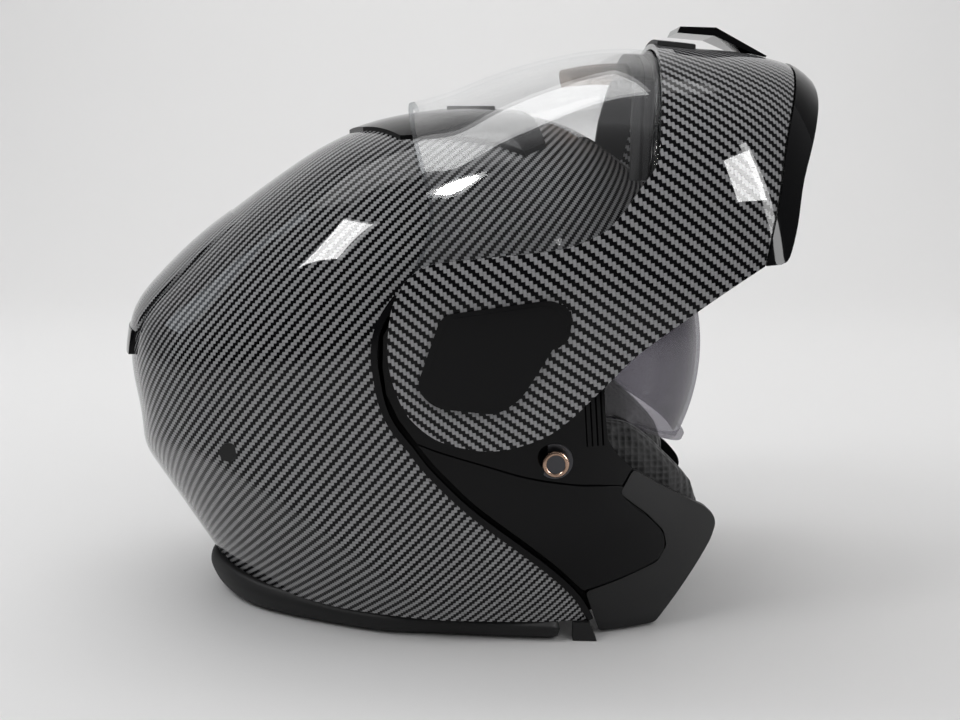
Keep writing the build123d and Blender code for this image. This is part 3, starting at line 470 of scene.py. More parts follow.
def both_sides(o, body, mat, slot, kind=None):
    """Dresses a piece and its mirror image; kind names the nodes that they replace."""
    left = mirrored(o, o.name.replace("right", "left"))
    for piece, side in ((o, "_right"), (left, "_left")):
        dress(piece, body, mat, slot, *([kind + side] if kind else []))
    return left


def weave_coords(o, middle=SHELL_MIDDLE):
    """A UV layer in metres: the weave spreads evenly from the middle of each side to the centre line."""
    me = o.data
    co = np.empty(len(me.vertices) * 3)
    me.vertices.foreach_get("co", co)
    co = co.reshape(-1, 3) / MM
    x, z = co[:, 0] - middle[0], co[:, 2] - middle[1]
    rho, y = np.maximum(np.hypot(x, z), 1e-6), np.abs(co[:, 1])
    spread = np.hypot(rho, y) * np.arctan2(rho, y) / rho
    loops = np.empty(len(me.loops), int)
    me.loops.foreach_get("vertex_index", loops)
    if "weave" not in me.uv_layers:
        me.uv_layers.new(name="weave")
    data = np.stack([(x * spread)[loops], (-z * spread)[loops]], -1) * MM
    me.uv_layers["weave"].data.foreach_set("uv", data.astype(np.float32).ravel())


# Materials
def material(name, color=(0, 0, 0), rough=.5, metal=0.0, coat=0.0, coat_rough=.03, ior=1.5, spec=.5,
             coat_ior=1.5):
    """A plain material, with its node tree and its shader."""
    m = bpy.data.materials.new(name)
    m.use_nodes = True
    nt = m.node_tree
    b = nt.nodes["Principled BSDF"]
    b.inputs["Base Color"].default_value = (*color, 1)
    b.inputs["Roughness"].default_value = rough
    b.inputs["Metallic"].default_value = metal
    b.inputs["Coat Weight"].default_value = coat
    b.inputs["Coat Roughness"].default_value = coat_rough
    b.inputs["IOR"].default_value = ior
    b.inputs["Specular IOR Level"].default_value = spec
    b.inputs["Coat IOR"].default_value = coat_ior
    return m, nt, b


def math_node(nt, op, a, b=None):
    """The output of a sum on numbers or sockets."""
    n = nt.nodes.new("ShaderNodeMath")
    n.operation = op
    for k, v in ((0, a), (1, b)):
        if isinstance(v, (int, float)):
            n.inputs[k].default_value = v
        elif v is not None:
            nt.links.new(v, n.inputs[k])
    return n.outputs[0]


def object_texture(nt, kind, **values):
    """A texture that is laid out in the object's own coordinates."""
    tex = nt.nodes.new(kind)
    for key, value in values.items():
        tex.inputs[key].default_value = value
    co = nt.nodes.new("ShaderNodeTexCoord")
    nt.links.new(co.outputs["Object"], tex.inputs["Vector"])
    return tex


def bumped(nt, b, height, strength, distance):
    """Raises the surface of shader b by a height; the distance is in metres."""
    bump = nt.nodes.new("ShaderNodeBump")
    bump.inputs["Strength"].default_value = strength
    bump.inputs["Distance"].default_value = distance
    nt.links.new(height, bump.inputs["Height"])
    nt.links.new(bump.outputs[0], b.inputs["Normal"])


def grained(name, color, scale, strength, distance=.0002, **values):
    """A plain material with a fine grain of some scale, strength and distance in its surface."""
    m, nt, b = material(name, color, **values)
    tex = object_texture(nt, "ShaderNodeTexNoise", Scale=scale, Detail=3.0)
    bumped(nt, b, tex.outputs["Fac"], strength, distance)
    return m


# The weave's pattern is real. The grey of the shining tows is a painted reflection of their fibres, and the
# dark tows keep the fibres' own black
PAINTED_SHINE_TOW, DARK_TOW = (.275, .275, .28), (.0015, .0015, .002)
TWILL_REPEAT = 4.0
TWILL_SHINING_STEPS = 1.5           # steps 0 and 1 of every four get the painted shine
TOW_EDGE_SHADE = .35              # painted shade: how much darker a shining tow is at its edges


def weave_material(name, turn, tow):
    """A clear-coated twill, turned by some degrees: diagonal steps of black tows and of tows painted grey
    with the reflection of their fibres.
    """
    m, nt, b = material(name, rough=.42, coat=1.0, coat_rough=.012, spec=0.0, coat_ior=1.28)
    uv = nt.nodes.new("ShaderNodeUVMap")
    uv.uv_map = "weave"
    sep = nt.nodes.new("ShaderNodeSeparateXYZ")
    nt.links.new(uv.outputs[0], sep.inputs[0])
    c, s = math.cos(math.radians(turn)), math.sin(math.radians(turn))
    u, v = sep.outputs[0], sep.outputs[1]

    def turned(op, a, b):
        mix = math_node(nt, op, math_node(nt, "MULTIPLY", a, c), math_node(nt, "MULTIPLY", b, s))
        return math_node(nt, "MULTIPLY", mix, 1 / (tow * MM))

    p, q = turned("ADD", u, v), turned("SUBTRACT", v, u)
    cell = math_node(nt, "ADD", math_node(nt, "FLOOR", p), math_node(nt, "FLOOR", q))
    shine_mask = math_node(nt, "LESS_THAN", math_node(nt, "FLOORED_MODULO", cell, TWILL_REPEAT),
                     TWILL_SHINING_STEPS)
    # Painted highlight and shade: each shining tow is a little brighter along its rounded middle and darker
    # at its edges
    across = math_node(nt, "SUBTRACT", math_node(nt, "MULTIPLY", math_node(nt, "FRACT", q), 2.0), 1.0)
    edge = math_node(nt, "POWER", math_node(nt, "ABSOLUTE", across), 3.0)
    middle = math_node(nt, "SUBTRACT", 1.0, math_node(nt, "MULTIPLY", edge, TOW_EDGE_SHADE))
    noise = nt.nodes.new("ShaderNodeTexNoise")
    noise.inputs["Scale"].default_value = 900.0
    nt.links.new(uv.outputs[0], noise.inputs["Vector"])
    uneven = math_node(nt, "ADD", math_node(nt, "MULTIPLY", noise.outputs["Fac"], .5), .75)
    # Painted reflection: the shining tows get their grey here
    painted_shine = nt.nodes.new("ShaderNodeVectorMath")
    painted_shine.operation = "SCALE"
    painted_shine.inputs[0].default_value = PAINTED_SHINE_TOW
    nt.links.new(math_node(nt, "MULTIPLY", middle, uneven), painted_shine.inputs["Scale"])
    mix = nt.nodes.new("ShaderNodeMix")
    mix.data_type = "RGBA"
    nt.links.new(shine_mask, mix.inputs["Factor"])
    mix.inputs[6].default_value = (*DARK_TOW, 1)
    nt.links.new(painted_shine.outputs[0], mix.inputs[7])
    nt.links.new(mix.outputs[2], b.inputs["Base Color"])
    return m


def foam_material():
    """Moulded beads."""
    m, nt, b = material("foam", (.007, .007, .0075), rough=.85, spec=.15)
    beads = object_texture(nt, "ShaderNodeTexVoronoi", Scale=420.0)
    bumped(nt, b, beads.outputs["Distance"], .5, .0006)
    return m


def webbing_material():
    """Woven ribs along the web and across it."""
    m, nt, b = material("webbing", (.014, .014, .0145), rough=.75, spec=.3)
    along = object_texture(nt, "ShaderNodeTexWave", Scale=170.0, Distortion=.6)
    along.bands_direction = "Y"
    across = object_texture(nt, "ShaderNodeTexWave", Scale=90.0)
    across.bands_direction = "X"
    height = math_node(nt, "MULTIPLY", along.outputs["Fac"], across.outputs["Fac"])
    bumped(nt, b, height, .7, .0006)
    return m


def mesh_cloth_material():
    """Spacer mesh: holes painted near black with the shade inside them, between lighter threads."""
    m, nt, b = material("air mesh", (.014, .014, .015), rough=.75, spec=.3)
    b.inputs["Sheen Weight"].default_value = .3
    holes = object_texture(nt, "ShaderNodeTexVoronoi", Scale=330.0, Randomness=.15)
    bumped(nt, b, holes.outputs["Distance"], .9, .0012)
    shade = nt.nodes.new("ShaderNodeValToRGB")
    shaded_hole, strand = shade.color_ramp.elements
    shaded_hole.position, strand.position = .25, .6
    # Painted shade: the near black of the holes
    shaded_hole.color = (.002, .002, .002, 1)
    strand.color = (.035, .035, .036, 1)
    nt.links.new(holes.outputs["Distance"], shade.inputs[0])
    nt.links.new(shade.outputs[0], b.inputs["Base Color"])
    return m


SHEEN_BLEND = .3
SHEEN_CAP = .2              # no clear sheet mirrors more than this share, even edge on


def clear_material(name, tint, edge, density):
    """A thin clear sheet: mostly see-through, with a mirror sheen, and a denser look edge on."""
    m = bpy.data.materials.new(name)
    m.use_nodes = True
    nt = m.node_tree
    nt.nodes.clear()
    out = nt.nodes.new("ShaderNodeOutputMaterial")
    clear = nt.nodes.new("ShaderNodeBsdfTransparent")
    mirror = nt.nodes.new("ShaderNodeBsdfGlossy")
    mirror.inputs["Roughness"].default_value = .02
    mirror.inputs["Color"].default_value = (1, 1, 1, 1)
    angle = nt.nodes.new("ShaderNodeLayerWeight")
    angle.inputs["Blend"].default_value = SHEEN_BLEND
    colour = nt.nodes.new("ShaderNodeMix")
    colour.data_type = "RGBA"
    colour.inputs[6].default_value = (*tint, 1)
    colour.inputs[7].default_value = (*edge, 1)
    nt.links.new(math_node(nt, "POWER", angle.outputs["Facing"], density), colour.inputs["Factor"])
    nt.links.new(colour.outputs[2], clear.inputs["Color"])
    mix = nt.nodes.new("ShaderNodeMixShader")
    nt.links.new(math_node(nt, "MINIMUM", angle.outputs["Fresnel"], SHEEN_CAP), mix.inputs[0])
    nt.links.new(clear.outputs[0], mix.inputs[1])
    nt.links.new(mirror.outputs[0], mix.inputs[2])
    nt.links.new(mix.outputs[0], out.inputs["Surface"])
    return m


carbon_shell = weave_material("carbon shell", turn=-3.0, tow=1.38)
carbon_chin = weave_material("carbon chin bar", turn=82.0, tow=1.66)
gloss = grained("gloss black", (.002, .002, .0024), 60, .03, .0003, rough=.03, ior=1.26)
matt = grained("matt black", (.0065, .0065, .007), 1800, .25, spec=.3)
rubber = grained("rubber", (.0055, .0055, .006), 2500, .2, rough=.6, spec=.28)
steel = grained("steel", (.62, .61, .59), 900, .1, .0001, rough=.25, metal=1.0)
gunmetal = grained("gunmetal", (.07, .07, .075), 900, .1, .0001, rough=.3, metal=1.0)
copper = grained("copper ring", (.40, .27, .20), 900, .1, .0001, rough=.25, metal=1.0)
thread = grained("thread", (.06, .06, .062), 4000, .3, rough=.7)
foam = foam_material()
webbing = webbing_material()
mesh_cloth = mesh_cloth_material()
clear_lens = clear_material("clear lens", (.985, .987, .988), (.93, .935, .94), 5.0)
rim_lens = clear_material("lens rim", (.80, .81, .82), (.62, .64, .65), 1.5)
smoke_lens = clear_material("smoke lens", (.56, .55, .58), (.30, .29, .32), 2.5)
film = clear_material("breath film", (.62, .54, .48), (.35, .28, .23), 2.0)

# Every CAD node gets the material of its slot, a few their own
finish_of = {
    "carbon_weave": carbon_shell, "gloss_black": gloss, "matt_black": matt, "soft_trim": rubber,
    "foam": foam, "air_mesh": mesh_cloth, "webbing": webbing, "steel": steel,
    "copper_ring": copper, "smoke_lens": smoke_lens, "clear_lens": clear_lens, "breath_film": film}
for entry in frame["record"]["subparts"]:
    o = nodes[entry["node"]]
    o.data.materials.clear()
    o.data.materials.append(finish_of[entry["material_slot"]])
nodes["chin_bar_shell"].data.materials[0] = carbon_chin
for side in ("right", "left"):
    nodes["latch_stud_" + side].data.materials[0] = gunmetal
    nodes["stud_seat_" + side].data.materials[0] = gunmetal
weave_coords(nodes["outer_shell"])
weave_coords(nodes["chin_bar_shell"], CHIN_MIDDLE)
for o in nodes.values():
    o.data.set_sharp_from_angle(angle=math.radians(CAD_SHARP))
    smooth_shaded(o)


# Shell, from the crown to the skirt, open at the face and at the foot
def shell_form(name, grow):
    """The whole shell, grown by some millimetres; the other forms below are made alike."""
    return grid_mesh(name, *hull_grid(SHELL_HULL, grow, *SHELL_GRID, shell_extra))


everything = [(-FAR, -FAR), (FAR, -FAR), (FAR, FAR), (-FAR, FAR)]
front_edge = smooth_line(mm([
    (.120, .708), (.030, .709), (-.032, .704), (-.080, .684), (-.112, .656), (-.136, .622), (-.148, .592),
    (-.152, .560), (-.150, .530), (-.140, .474), (-.122, .432), (-.090, .390), (-.060, .350), (.010, .278),
    (.100, .204), (.160, .152), (.210, .096), (.244, .030)]), 5)
brow_edge = smooth_line(mm([(.396, .817), (.328, .760), (.264, .700)]), 4)
face_cut = mm([(1.2, .817), (.396, .817)]) + brow_edge + front_edge + mm([(.250, -.4), (1.2, -.4)])
foot_cut = mm([(.300, .040), (-.240, .048), (-.400, .062), (-.540, .086), (-.900, .100), (-.900, -.4),
               (.300, -.4)])
shell = band("shell_skin", shell_form, 0, -SHELL_WALL, everything, bevel=.7, cuts=(face_cut, foot_cut))
weave_coords(shell)
dress(shell, "shell", carbon_shell, "carbon_weave", "outer_shell")

# A gloss bead along the shell's front edge, from the temple down
BEAD_START = 20
BEAD_OUT, BEAD_IN = .5, 2.4
BEAD_PROUD, BEAD_DEPTH = .7, 3.6
bead_edge = strip(front_edge[BEAD_START:-1], BEAD_OUT, BEAD_IN)
bead = band("shell_edge_bead_right", shell_form, BEAD_PROUD, -BEAD_DEPTH, bead_edge, bevel=.7,
            span=RIGHT_HALF, segments=4)
both_sides(bead, "shell", gloss, "gloss_black")


# Chin bar, its gloss trim, and the side covers
def chin_form(name, grow):
    return grid_mesh(name, *hull_grid(CHIN_HULL, grow, *CHIN_GRID))


chin_edge = (
    smooth_line(mm([(-.100, .688), (-.057, .716), (.060, .730), (.164, .742), (.232, .767),
                    (.264, .794), (.301, .842), (.330, .880), (.339, .910)]), 5)
    + smooth_line(mm([(.339, .910), (.344, .960), (.350, 1.000), (.357, 1.050), (.366, 1.108)]), 3)
    + mm([(.366, 1.2), (.640, 1.2), (.640, 1.088)])
    + smooth_line(mm([(.640, 1.088), (.612, 1.032), (.572, .928), (.550, .820), (.525, .708)]), 4)
    + smooth_line(mm([(.525, .708), (.470, .676), (.407, .636), (.304, .564), (.254, .516),
                      (.175, .440), (.120, .408), (.045, .392), (-.038, .408), (-.088, .444),
                      (-.112, .483), (-.128, .536), (-.130, .588), (-.122, .644), (-.100, .688)]), 5))
SAME_POINT = .05
chin_edge = [p for i, p in enumerate(chin_edge)
             if (Vector(p) - Vector(chin_edge[i - 1])).length > SAME_POINT]
chin = band("chin_bar_skin", chin_form, 0, -CHIN_WALL, chin_edge, bevel=1.6, segments=4)
weave_coords(chin, CHIN_MIDDLE)
dress(chin, "chin_bar", carbon_chin, "carbon_weave", "chin_bar_shell")

trim_edge = (
    smooth_line(mm([(.527, .709), (.5532, .820), (.5752, .928), (.6152, 1.032), (.6432, 1.088)]), 4)
    + mm([(.6432, 1.2), (.670, 1.2)])
    + smooth_line(mm([(.670, 1.090), (.666, 1.016), (.640, .946), (.604, .856), (.588, .776),
                      (.572, .722), (.556, .710)]), 4))
TRIM_PROUD, TRIM_DEPTH = .8, 5.0
trim = band("chin_trim", chin_form, TRIM_PROUD, -TRIM_DEPTH, trim_edge, bevel=1.3, segments=4)
dress(trim, "chin_bar", gloss, "gloss_black", "chin_bar_trim")

cover_edge = rounded(mm([(-.030, .633), (.149, .658), (.178, .645), (.184, .624), (.143, .558), (.099, .487),
                         (.057, .459), (-.050, .471), (-.082, .504), (-.042, .619)]), 5.0)
COVER_PROUD, COVER_ROOT = 2.3, .2
PANE_PROUD, PANE_ROOT, PANE_SHARE = 2.75, 1.0, .9
cover = joined("side_cover_skin_right", [
    band("side_cover_skin_right", chin_form, COVER_PROUD, COVER_ROOT, cover_edge, bevel=1.3,
         span=RIGHT_HALF, segments=4),
    band("side_cover_pane", chin_form, PANE_PROUD, PANE_ROOT, shrunk(cover_edge, PANE_SHARE), bevel=.42,
         span=RIGHT_HALF, segments=3)])
both_sides(cover, "chin_bar", gloss, "gloss_black", "side_cover")

scoop_edge = rounded([(45.6, 160.6), (46.4, 156.0), (45.2, 147.6), (40.4, 143.2), (36.2, 144.0),
                      (38.6, 149.0)], 2.0)
SCOOP_PROUD, SCOOP_DEPTH = .6, .4
scoop = band("side_cover_scoop_right", chin_form, SCOOP_PROUD, -SCOOP_DEPTH, scoop_edge, bevel=.5,
             span=RIGHT_HALF, segments=3)
both_sides(scoop, "chin_bar", gloss, "gloss_black")


# Clear visor with a rim along its edge
def visor_form(name, grow):
    return grid_mesh(name, *hull_grid(VISOR_HULL, grow, *VISOR_GRID))


visor_edge = (
    mm([(-.104, 1.2), (-.104, 1.02)])
    + smooth_line(mm([(-.104, 1.02), (-.104, .996), (-.086, .930), (-.068, .872), (-.054, .820),
                      (-.054, .770), (-.070, .725), (-.086, .680), (-.088, .640), (-.076, .560),
                      (-.068, .520), (-.058, .499), (-.040, .492), (-.021, .500), (-.013, .520),
                      (-.024, .548), (-.026, .584), (-.008, .616), (.048, .648), (.180, .692),
                      (.230, .716), (.264, .744), (.300, .790), (.320, .828), (.336, .884),
                      (.341, .940), (.346, 1.000), (.362, 1.108)]), 4)
    + mm([(.362, 1.2)]))
visor = band("visor_sheet", visor_form, 0, -LENS_WALL, visor_edge, bevel=.4, segments=2)
dress(visor, "visor", clear_lens, "clear_lens", "visor_lens")
RIM_PROUD, RIM_DEPTH, RIM_WIDE = .12, 2.3, 1.8
rim_edge = strip(visor_edge[1:-2], 0, RIM_WIDE)
rim = band("visor_rim", visor_form, RIM_PROUD, -RIM_DEPTH, rim_edge, bevel=.3, segments=2)
dress(rim, "visor", rim_lens, "clear_lens")


# Side panels with their ridge and ribs, and the front corners
def panel_form(name, grow):
    """The shell drawn in by the panels' step, and flat at the sides."""
    X, Y, Z = hull_grid(SHELL_HULL, grow - PANEL_STEP, *PANEL_GRID)
    return grid_mesh(name, X, np.clip(Y, -PANEL_FLAT - grow, PANEL_FLAT + grow), Z)


panel_edge = mm([(.258, .692), (.118, .700), (-.028, .696), (-.104, .650), (-.141, .588), (-.143, .532),
                 (-.137, .484), (-.116, .438), (-.084, .395), (-.054, .355), (.015, .284), (.105, .210),
                 (.166, .157), (.216, .104), (.222, .100), (.286, .120), (.359, .147), (.375, .176),
                 (.368, .206), (.335, .243), (.280, .291), (.306, .334), (.277, .362), (.259, .392),
                 (.251, .464), (.246, .560), (.262, .640)])
ridge_edge = (
    smooth_line([(-20.5, 98.2), (-9.4, 94.0), (10.1, 88.1), (29.2, 82.2), (50, 78.2), (61, 77.2),
                 (72.0, 76.0)], 5)
    + smooth_line([(72.2, 75.4), (71.4, 72.5), (79, 64.4), (84.2, 60.2), (91.4, 52.0), (93.2, 45),
                   (91.6, 39.4), (87, 36.2), (71.5, 30.6), (55.6, 25.9)], 4)
    + smooth_line([(54.2, 26.8), (41.5, 39.9), (26.25, 53.2), (3.75, 71.7), (-13.0, 89.2),
                   (-20.0, 97.6)], 4))
corner_edge = rounded(mm([(.308, .333), (.363, .296), (.456, .236), (.478, .212), (.483, .194), (.473, .166),
                          (.366, .004), (.254, .004), (.224, .098), (.288, .118), (.361, .145), (.378, .176),
                          (.370, .208), (.337, .245), (.283, .291)]), 2.2, 4)
RIBS, RIB_X, RIB_PITCH, RIB_WIDTH, RIB_LEAN = 4, 53.6, 2.5, 1.4, 1.8
RIB_TOP, RIB_FOOT = 124, 95.5
RIDGE_PROUD, RIB_PROUD, CORNER_PROUD, ROOT = 1.6, .9, .9, .2


def rib_edge(x):
    """A leaning rib whose top corner is at x."""
    return [(x, RIB_TOP), (x + RIB_WIDTH, RIB_TOP), (x + RIB_WIDTH + RIB_LEAN, RIB_FOOT),
            (x + RIB_LEAN, RIB_FOOT)]


panel = [band("side_panel_skin_right", panel_form, 0, -PANEL_WALL, panel_edge, bevel=.3,
              span=RIGHT_HALF, segments=2),
         band("panel_ridge", panel_form, RIDGE_PROUD, -ROOT, ridge_edge, bevel=1.3,
              span=RIGHT_HALF, segments=4)]
for k in range(RIBS):
    edge = rib_edge(RIB_X + RIB_PITCH * k)
    panel.append(band("panel_rib", panel_form, RIB_PROUD, -ROOT, edge, bevel=.35,
                      span=RIGHT_HALF, segments=2))
both_sides(joined("side_panel_skin_right", panel), "shell", gloss, "gloss_black", "side_panel")
corner = band("front_corner_skin_right", panel_form, CORNER_PROUD, -PANEL_WALL, corner_edge, bevel=.8,
              span=RIGHT_HALF, segments=4)
both_sides(corner, "shell", matt, "matt_black", "front_corner")

# The panel at the back of the crown, and the dark insert under its lip
REAR_SUNK, REAR_RISE = .35, 2.5
REAR_FROM, REAR_SPAN = 146, 24
REAR_HALF, REAR_WALL = 57.5, 1.6
LIP_HALF, LIP_PROUD, LIP_DEPTH = 50, .5, 2.5


def rear_form(name, grow):
    """The shell, raised towards the back of the crown."""
    def rise(turn, y):
        lift = eased(ramp(np.degrees(turn) % 360, REAR_FROM, REAR_SPAN))
        return shell_extra(turn, y) - REAR_SUNK + REAR_RISE * lift
    return grid_mesh(name, *hull_grid(SHELL_HULL, grow, *SHELL_GRID, rise))


rear_edge = [(-104, 196), (-230, 196), (-230, 141.2), (-140, 141.2), (-112, 160)]
rear = band("rear_panel_skin", rear_form, 0, -REAR_WALL, rear_edge, bevel=.5,
            span=(-REAR_HALF, REAR_HALF), segments=3)
weave_coords(rear)
dress(rear, "shell", carbon_shell, "carbon_weave", "rear_spoiler")
lip_edge = [(-230, 140.7), (-150, 140.7), (-150, 129.5), (-230, 126.5)]
lip = band("rear_lip", rear_form, LIP_PROUD, -LIP_DEPTH, lip_edge, bevel=.9,
           span=(-LIP_HALF, LIP_HALF), segments=4)
dress(lip, "shell", gloss, "gloss_black", "rear_vent_insert")

# Base ring: a soft lip round the lower edge that turns in below, from two loops seen from above
RING_LOW = [(165, 0), (150, 80), (63, 92), (-17, 85.6), (-49, 79), (-102, 51), (-126, 19.5), (-130, 0)]
RING_TOP = [(167, 0), (150, 84.7), (63, 98.6), (-17, 94), (-51, 86.4), (-106, 56.8), (-130, 24.4), (-134, 0)]
RING_LOOP_HEIGHT = 24
RING_FRONT = 49
RING_HEIGHTS = [(-136, 21.5), (-100, 16.2), (-60, 13.0), (75, 10.4)]
LEAST_HEIGHT = .05
# The ring's section: millimetres out of the loop, share of the height, and millimetres above that
RING_ROWS = [(-4.5, 1.0, 0), (-1.6, 1.0, .1), (-.2, 1.0, -.5), (.6, 1.0, -1.8), (1.7, .78, 0), (2.0, .66, 0),
             (1.5, .50, 0), (.2, .26, 0), (-1.4, .10, .2), (-3.2, 0, .1), (-6.0, 0, 0), (-8.4, 0, .3),
             (-9.0, .3, 0), (-7.4, .8, 0)]


def ring_loop(table):
    """The whole loop of one side's points."""
    half = smooth_line(table, 14)
    return half + [(x, -y) for x, y in half[::-1][1:]]


def base_ring(name):
    """The ring's section, swept round from one front end to the other."""
    lows, tops = ring_loop(RING_LOW), ring_loop(RING_TOP)
    way = [i for i, (x, y) in enumerate(lows) if x <= RING_FRONT]
    verts = []
    for i in way:
        low, top = Vector(lows[i]), Vector(tops[i])
        along = (Vector(lows[i + 1]) - Vector(lows[i - 1])).normalized()
        out = Vector((-along.y, along.x))
        if out.dot(low) < 0:
            out = -out
        high = float(np.interp(top.x, [x for x, z in RING_HEIGHTS], [z for x, z in RING_HEIGHTS]))
        for away, share, lift in RING_ROWS:
            z = max(high * share + lift, LEAST_HEIGHT)
            p = low.lerp(top, z / RING_LOOP_HEIGHT) + out * away
            verts.append((p.x * MM, p.y * MM, z * MM))
    ring = mesh_object(name, verts, tube_faces(len(way), len(RING_ROWS)))
    return smooth_shaded(subdivided(ring))


dress(base_ring("base_ring_lip"), "shell", rubber, "soft_trim", "base_trim_ring")

# Padded pieces
CLOTH_FRAMES = 20


def blown_up(o, start, pressure, cap):
    """Fills o like a cloth bag; no point moves further than cap from its start."""
    mod = o.modifiers.new("cloth", "CLOTH")
    mod.settings.use_pressure = True
    mod.settings.uniform_pressure_force = pressure
    mod.settings.effector_weights.gravity = 0.0
    mod.settings.quality = 4
    mod.point_cache.frame_start = 1
    mod.point_cache.frame_end = CLOTH_FRAMES
    for step in range(1, CLOTH_FRAMES + 1):
        bpy.context.scene.frame_set(step)
    baked(o)
    bpy.context.scene.frame_set(1)
    for v, co in zip(o.data.vertices, start):
        moved = v.co - co
        if moved.length > cap * MM:
            v.co = co + moved.normalized() * cap * MM


def seamed(o, seams):
    """Draws in a groove of some half width and depth along each seam's plane."""
    o.data.update()
    for v in o.data.vertices:
        for point, normal, half, depth in seams:
            far = abs((v.co / MM - Vector(point)).dot(Vector(normal)))
            if far < half:
                v.co -= v.normal * depth * MM * (1 - far / half) ** 2


def cushion(node, name, voxel, shrink, cap, pressure, seams=()):
    """A stuffed piece: the pad's solid, remeshed, drawn in and blown up like cloth."""
    o = copied(nodes[node], name)
    o.parent = None
    o.matrix_world = nodes[node].matrix_world.copy()
    o.data.materials.clear()
    bm = bmesh.new()
    bm.from_mesh(o.data)
    bmesh.ops.remove_doubles(bm, verts=bm.verts, dist=1e-6)
    bm.to_mesh(o.data)
    bm.free()
    mod = o.modifiers.new("remesh", "REMESH")
    mod.mode = "VOXEL"
    mod.voxel_size = voxel * MM
    baked(o)
    o.data.update()
    start = [v.co - v.normal * shrink * MM for v in o.data.vertices]
    for v, co in zip(o.data.vertices, start):
        v.co = co
    blown_up(o, start, pressure, cap)
    subdivided(o)
    if seams:
        seamed(o, seams)
    return smooth_shaded(o)


SEAM_HALF = 3.0
cheek_seam = ((40, -60, 50), (.32, 0, .947), SEAM_HALF, 1.5)
crown_seams = [((-30, y, 200), (0, 1, 0), SEAM_HALF, 1.2) for y in (0, 38, -38)]
cheek = cushion("cheek_pad_right", "cheek_cushion_right", voxel=3.6, shrink=1.0, cap=2.2, pressure=4.0,
                seams=[cheek_seam])
cheek_left = both_sides(cheek, "shell", mesh_cloth, "air_mesh", "cheek_pad")
crown = cushion("crown_pad", "crown_cushion", voxel=4.0, shrink=.9, cap=1.6, pressure=3.0,
                seams=crown_seams)
dress(crown, "shell", mesh_cloth, "air_mesh", "crown_pad")
neck = cushion("neck_roll", "neck_cushion", voxel=4.0, shrink=.9, cap=1.8, pressure=4.0)
dress(neck, "shell", mesh_cloth, "air_mesh", "neck_roll")

# Copper rims of the latch studs; the section is measured out from the head and back from its face
STUD_ROWS = [(-1.5, .3), (-1.4, -.3), (-.9, -.5), (-.2, -.4), (.3, .1), (.4, .9), (.1, 1.3), (-1.4, 1.3)]
STUD_TURNS = 56


def stud_rim(name):
    """A turned rim round the head of the right stud."""
    low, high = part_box("latch_stud_right")
    x, z = (low[0] + high[0]) / 2, (low[2] + high[2]) / 2
    radius, face = (high[0] - low[0]) / 2, low[1]
    verts = []
    for i in range(STUD_TURNS):
        t = 2 * math.pi * i / STUD_TURNS
        for out, back in STUD_ROWS:
            r = radius + out * MM
            verts.append((x + r * math.cos(t), face + back * MM, z + r * math.sin(t)))
    return smooth_shaded(mesh_object(name, verts, tube_faces(STUD_TURNS, len(STUD_ROWS), closed=True)))


both_sides(stud_rim("stud_rim_right"), "shell", copper, "copper_ring")

# Chin strap webs: (Y, Z) points, then where the stitching is and how the web slopes there
STRAP_X, STRAP_WIDE, STRAP_THICK = 33.0, 22.0, 1.8
WEBS = {
    "right": ([(-76.5, 10.0), (-69, 10.0), (-61, 9.5), (-38, 7.3), (-15.5, 5.1), (-6, 5.0)],
              (-57.0, 8.45), -.1),
    "left": ([(76.5, 10.0), (69, 10.0), (61, 9.9), (40, 8.7), (22, 7.6), (13.8, 7.5)],
             (57.0, 8.85), .055)}
WEB_CORNERS, WEB_EDGE, WEB_FACE = 20, .4, .75
STITCH_ROWS, STITCH_FROM, STITCH_TO = (-3, 0, 3), -8.0, 8.0
STITCH_STEP, STITCH_LONG, STITCH_RADIUS, STITCH_SIDES = 2.2, 1.5, .32, 6
STITCH_SHAPE = ((0, .2), (.25, 1), (.75, 1), (1, .2))


def ribbon(name, points):
    """A flat web along (Y, Z) points, with rolled edges."""
    line = smooth_line(points, 7)
    cross = []
    for k in range(WEB_CORNERS):
        t = 2 * math.pi * k / WEB_CORNERS
        c, s = math.cos(t), math.sin(t)
        cross.append((math.copysign(abs(c) ** WEB_EDGE, c) * STRAP_WIDE / 2,
                      math.copysign(abs(s) ** WEB_FACE, s) * STRAP_THICK / 2))
    verts = []
    for i, p in enumerate(line):
        a, b = Vector(line[max(i - 1, 0)]), Vector(line[min(i + 1, len(line) - 1)])
        along = (b - a).normalized()
        up = Vector((-along.y, along.x))
        for x, high in cross:
            q = Vector(p) + up * high
            verts.append(((STRAP_X + x) * MM, q.x * MM, q.y * MM))
    return smooth_shaded(mesh_object(name, verts, tube_faces(len(line), len(cross))))


def stitches(name, middle, slope):
    """Rows of thread on a web: short raised beads along X."""
    verts, faces = [], []
    count = int((STITCH_TO - STITCH_LONG - STITCH_FROM) / STITCH_STEP) + 1
    rings = len(STITCH_SHAPE)
    for row in STITCH_ROWS:
        for index in range(count):
            x = STRAP_X + STITCH_FROM + STITCH_STEP * index
            base = len(verts)
            for k in range(STITCH_SIDES):
                t = 2 * math.pi * k / STITCH_SIDES
                for share, thin in STITCH_SHAPE:
                    r = STITCH_RADIUS * thin
                    verts.append(((x + STITCH_LONG * share) * MM, (middle[0] + row + r * math.cos(t)) * MM,
                                  (middle[1] + slope * row + r * math.sin(t)) * MM))
            for k in range(STITCH_SIDES):
                i, j = base + k * rings, base + (k + 1) % STITCH_SIDES * rings
                faces += [(i + e, j + e, j + e + 1, i + e + 1) for e in range(rings - 1)]
    return smooth_shaded(mesh_object(name, verts, faces))


for side, (points, middle, slope) in WEBS.items():
    dress(ribbon("chin_web_" + side, points), "shell", webbing, "webbing", "chin_strap_" + side)
    dress(stitches("web_stitching_" + side, middle, slope), "shell", thread, "webbing")

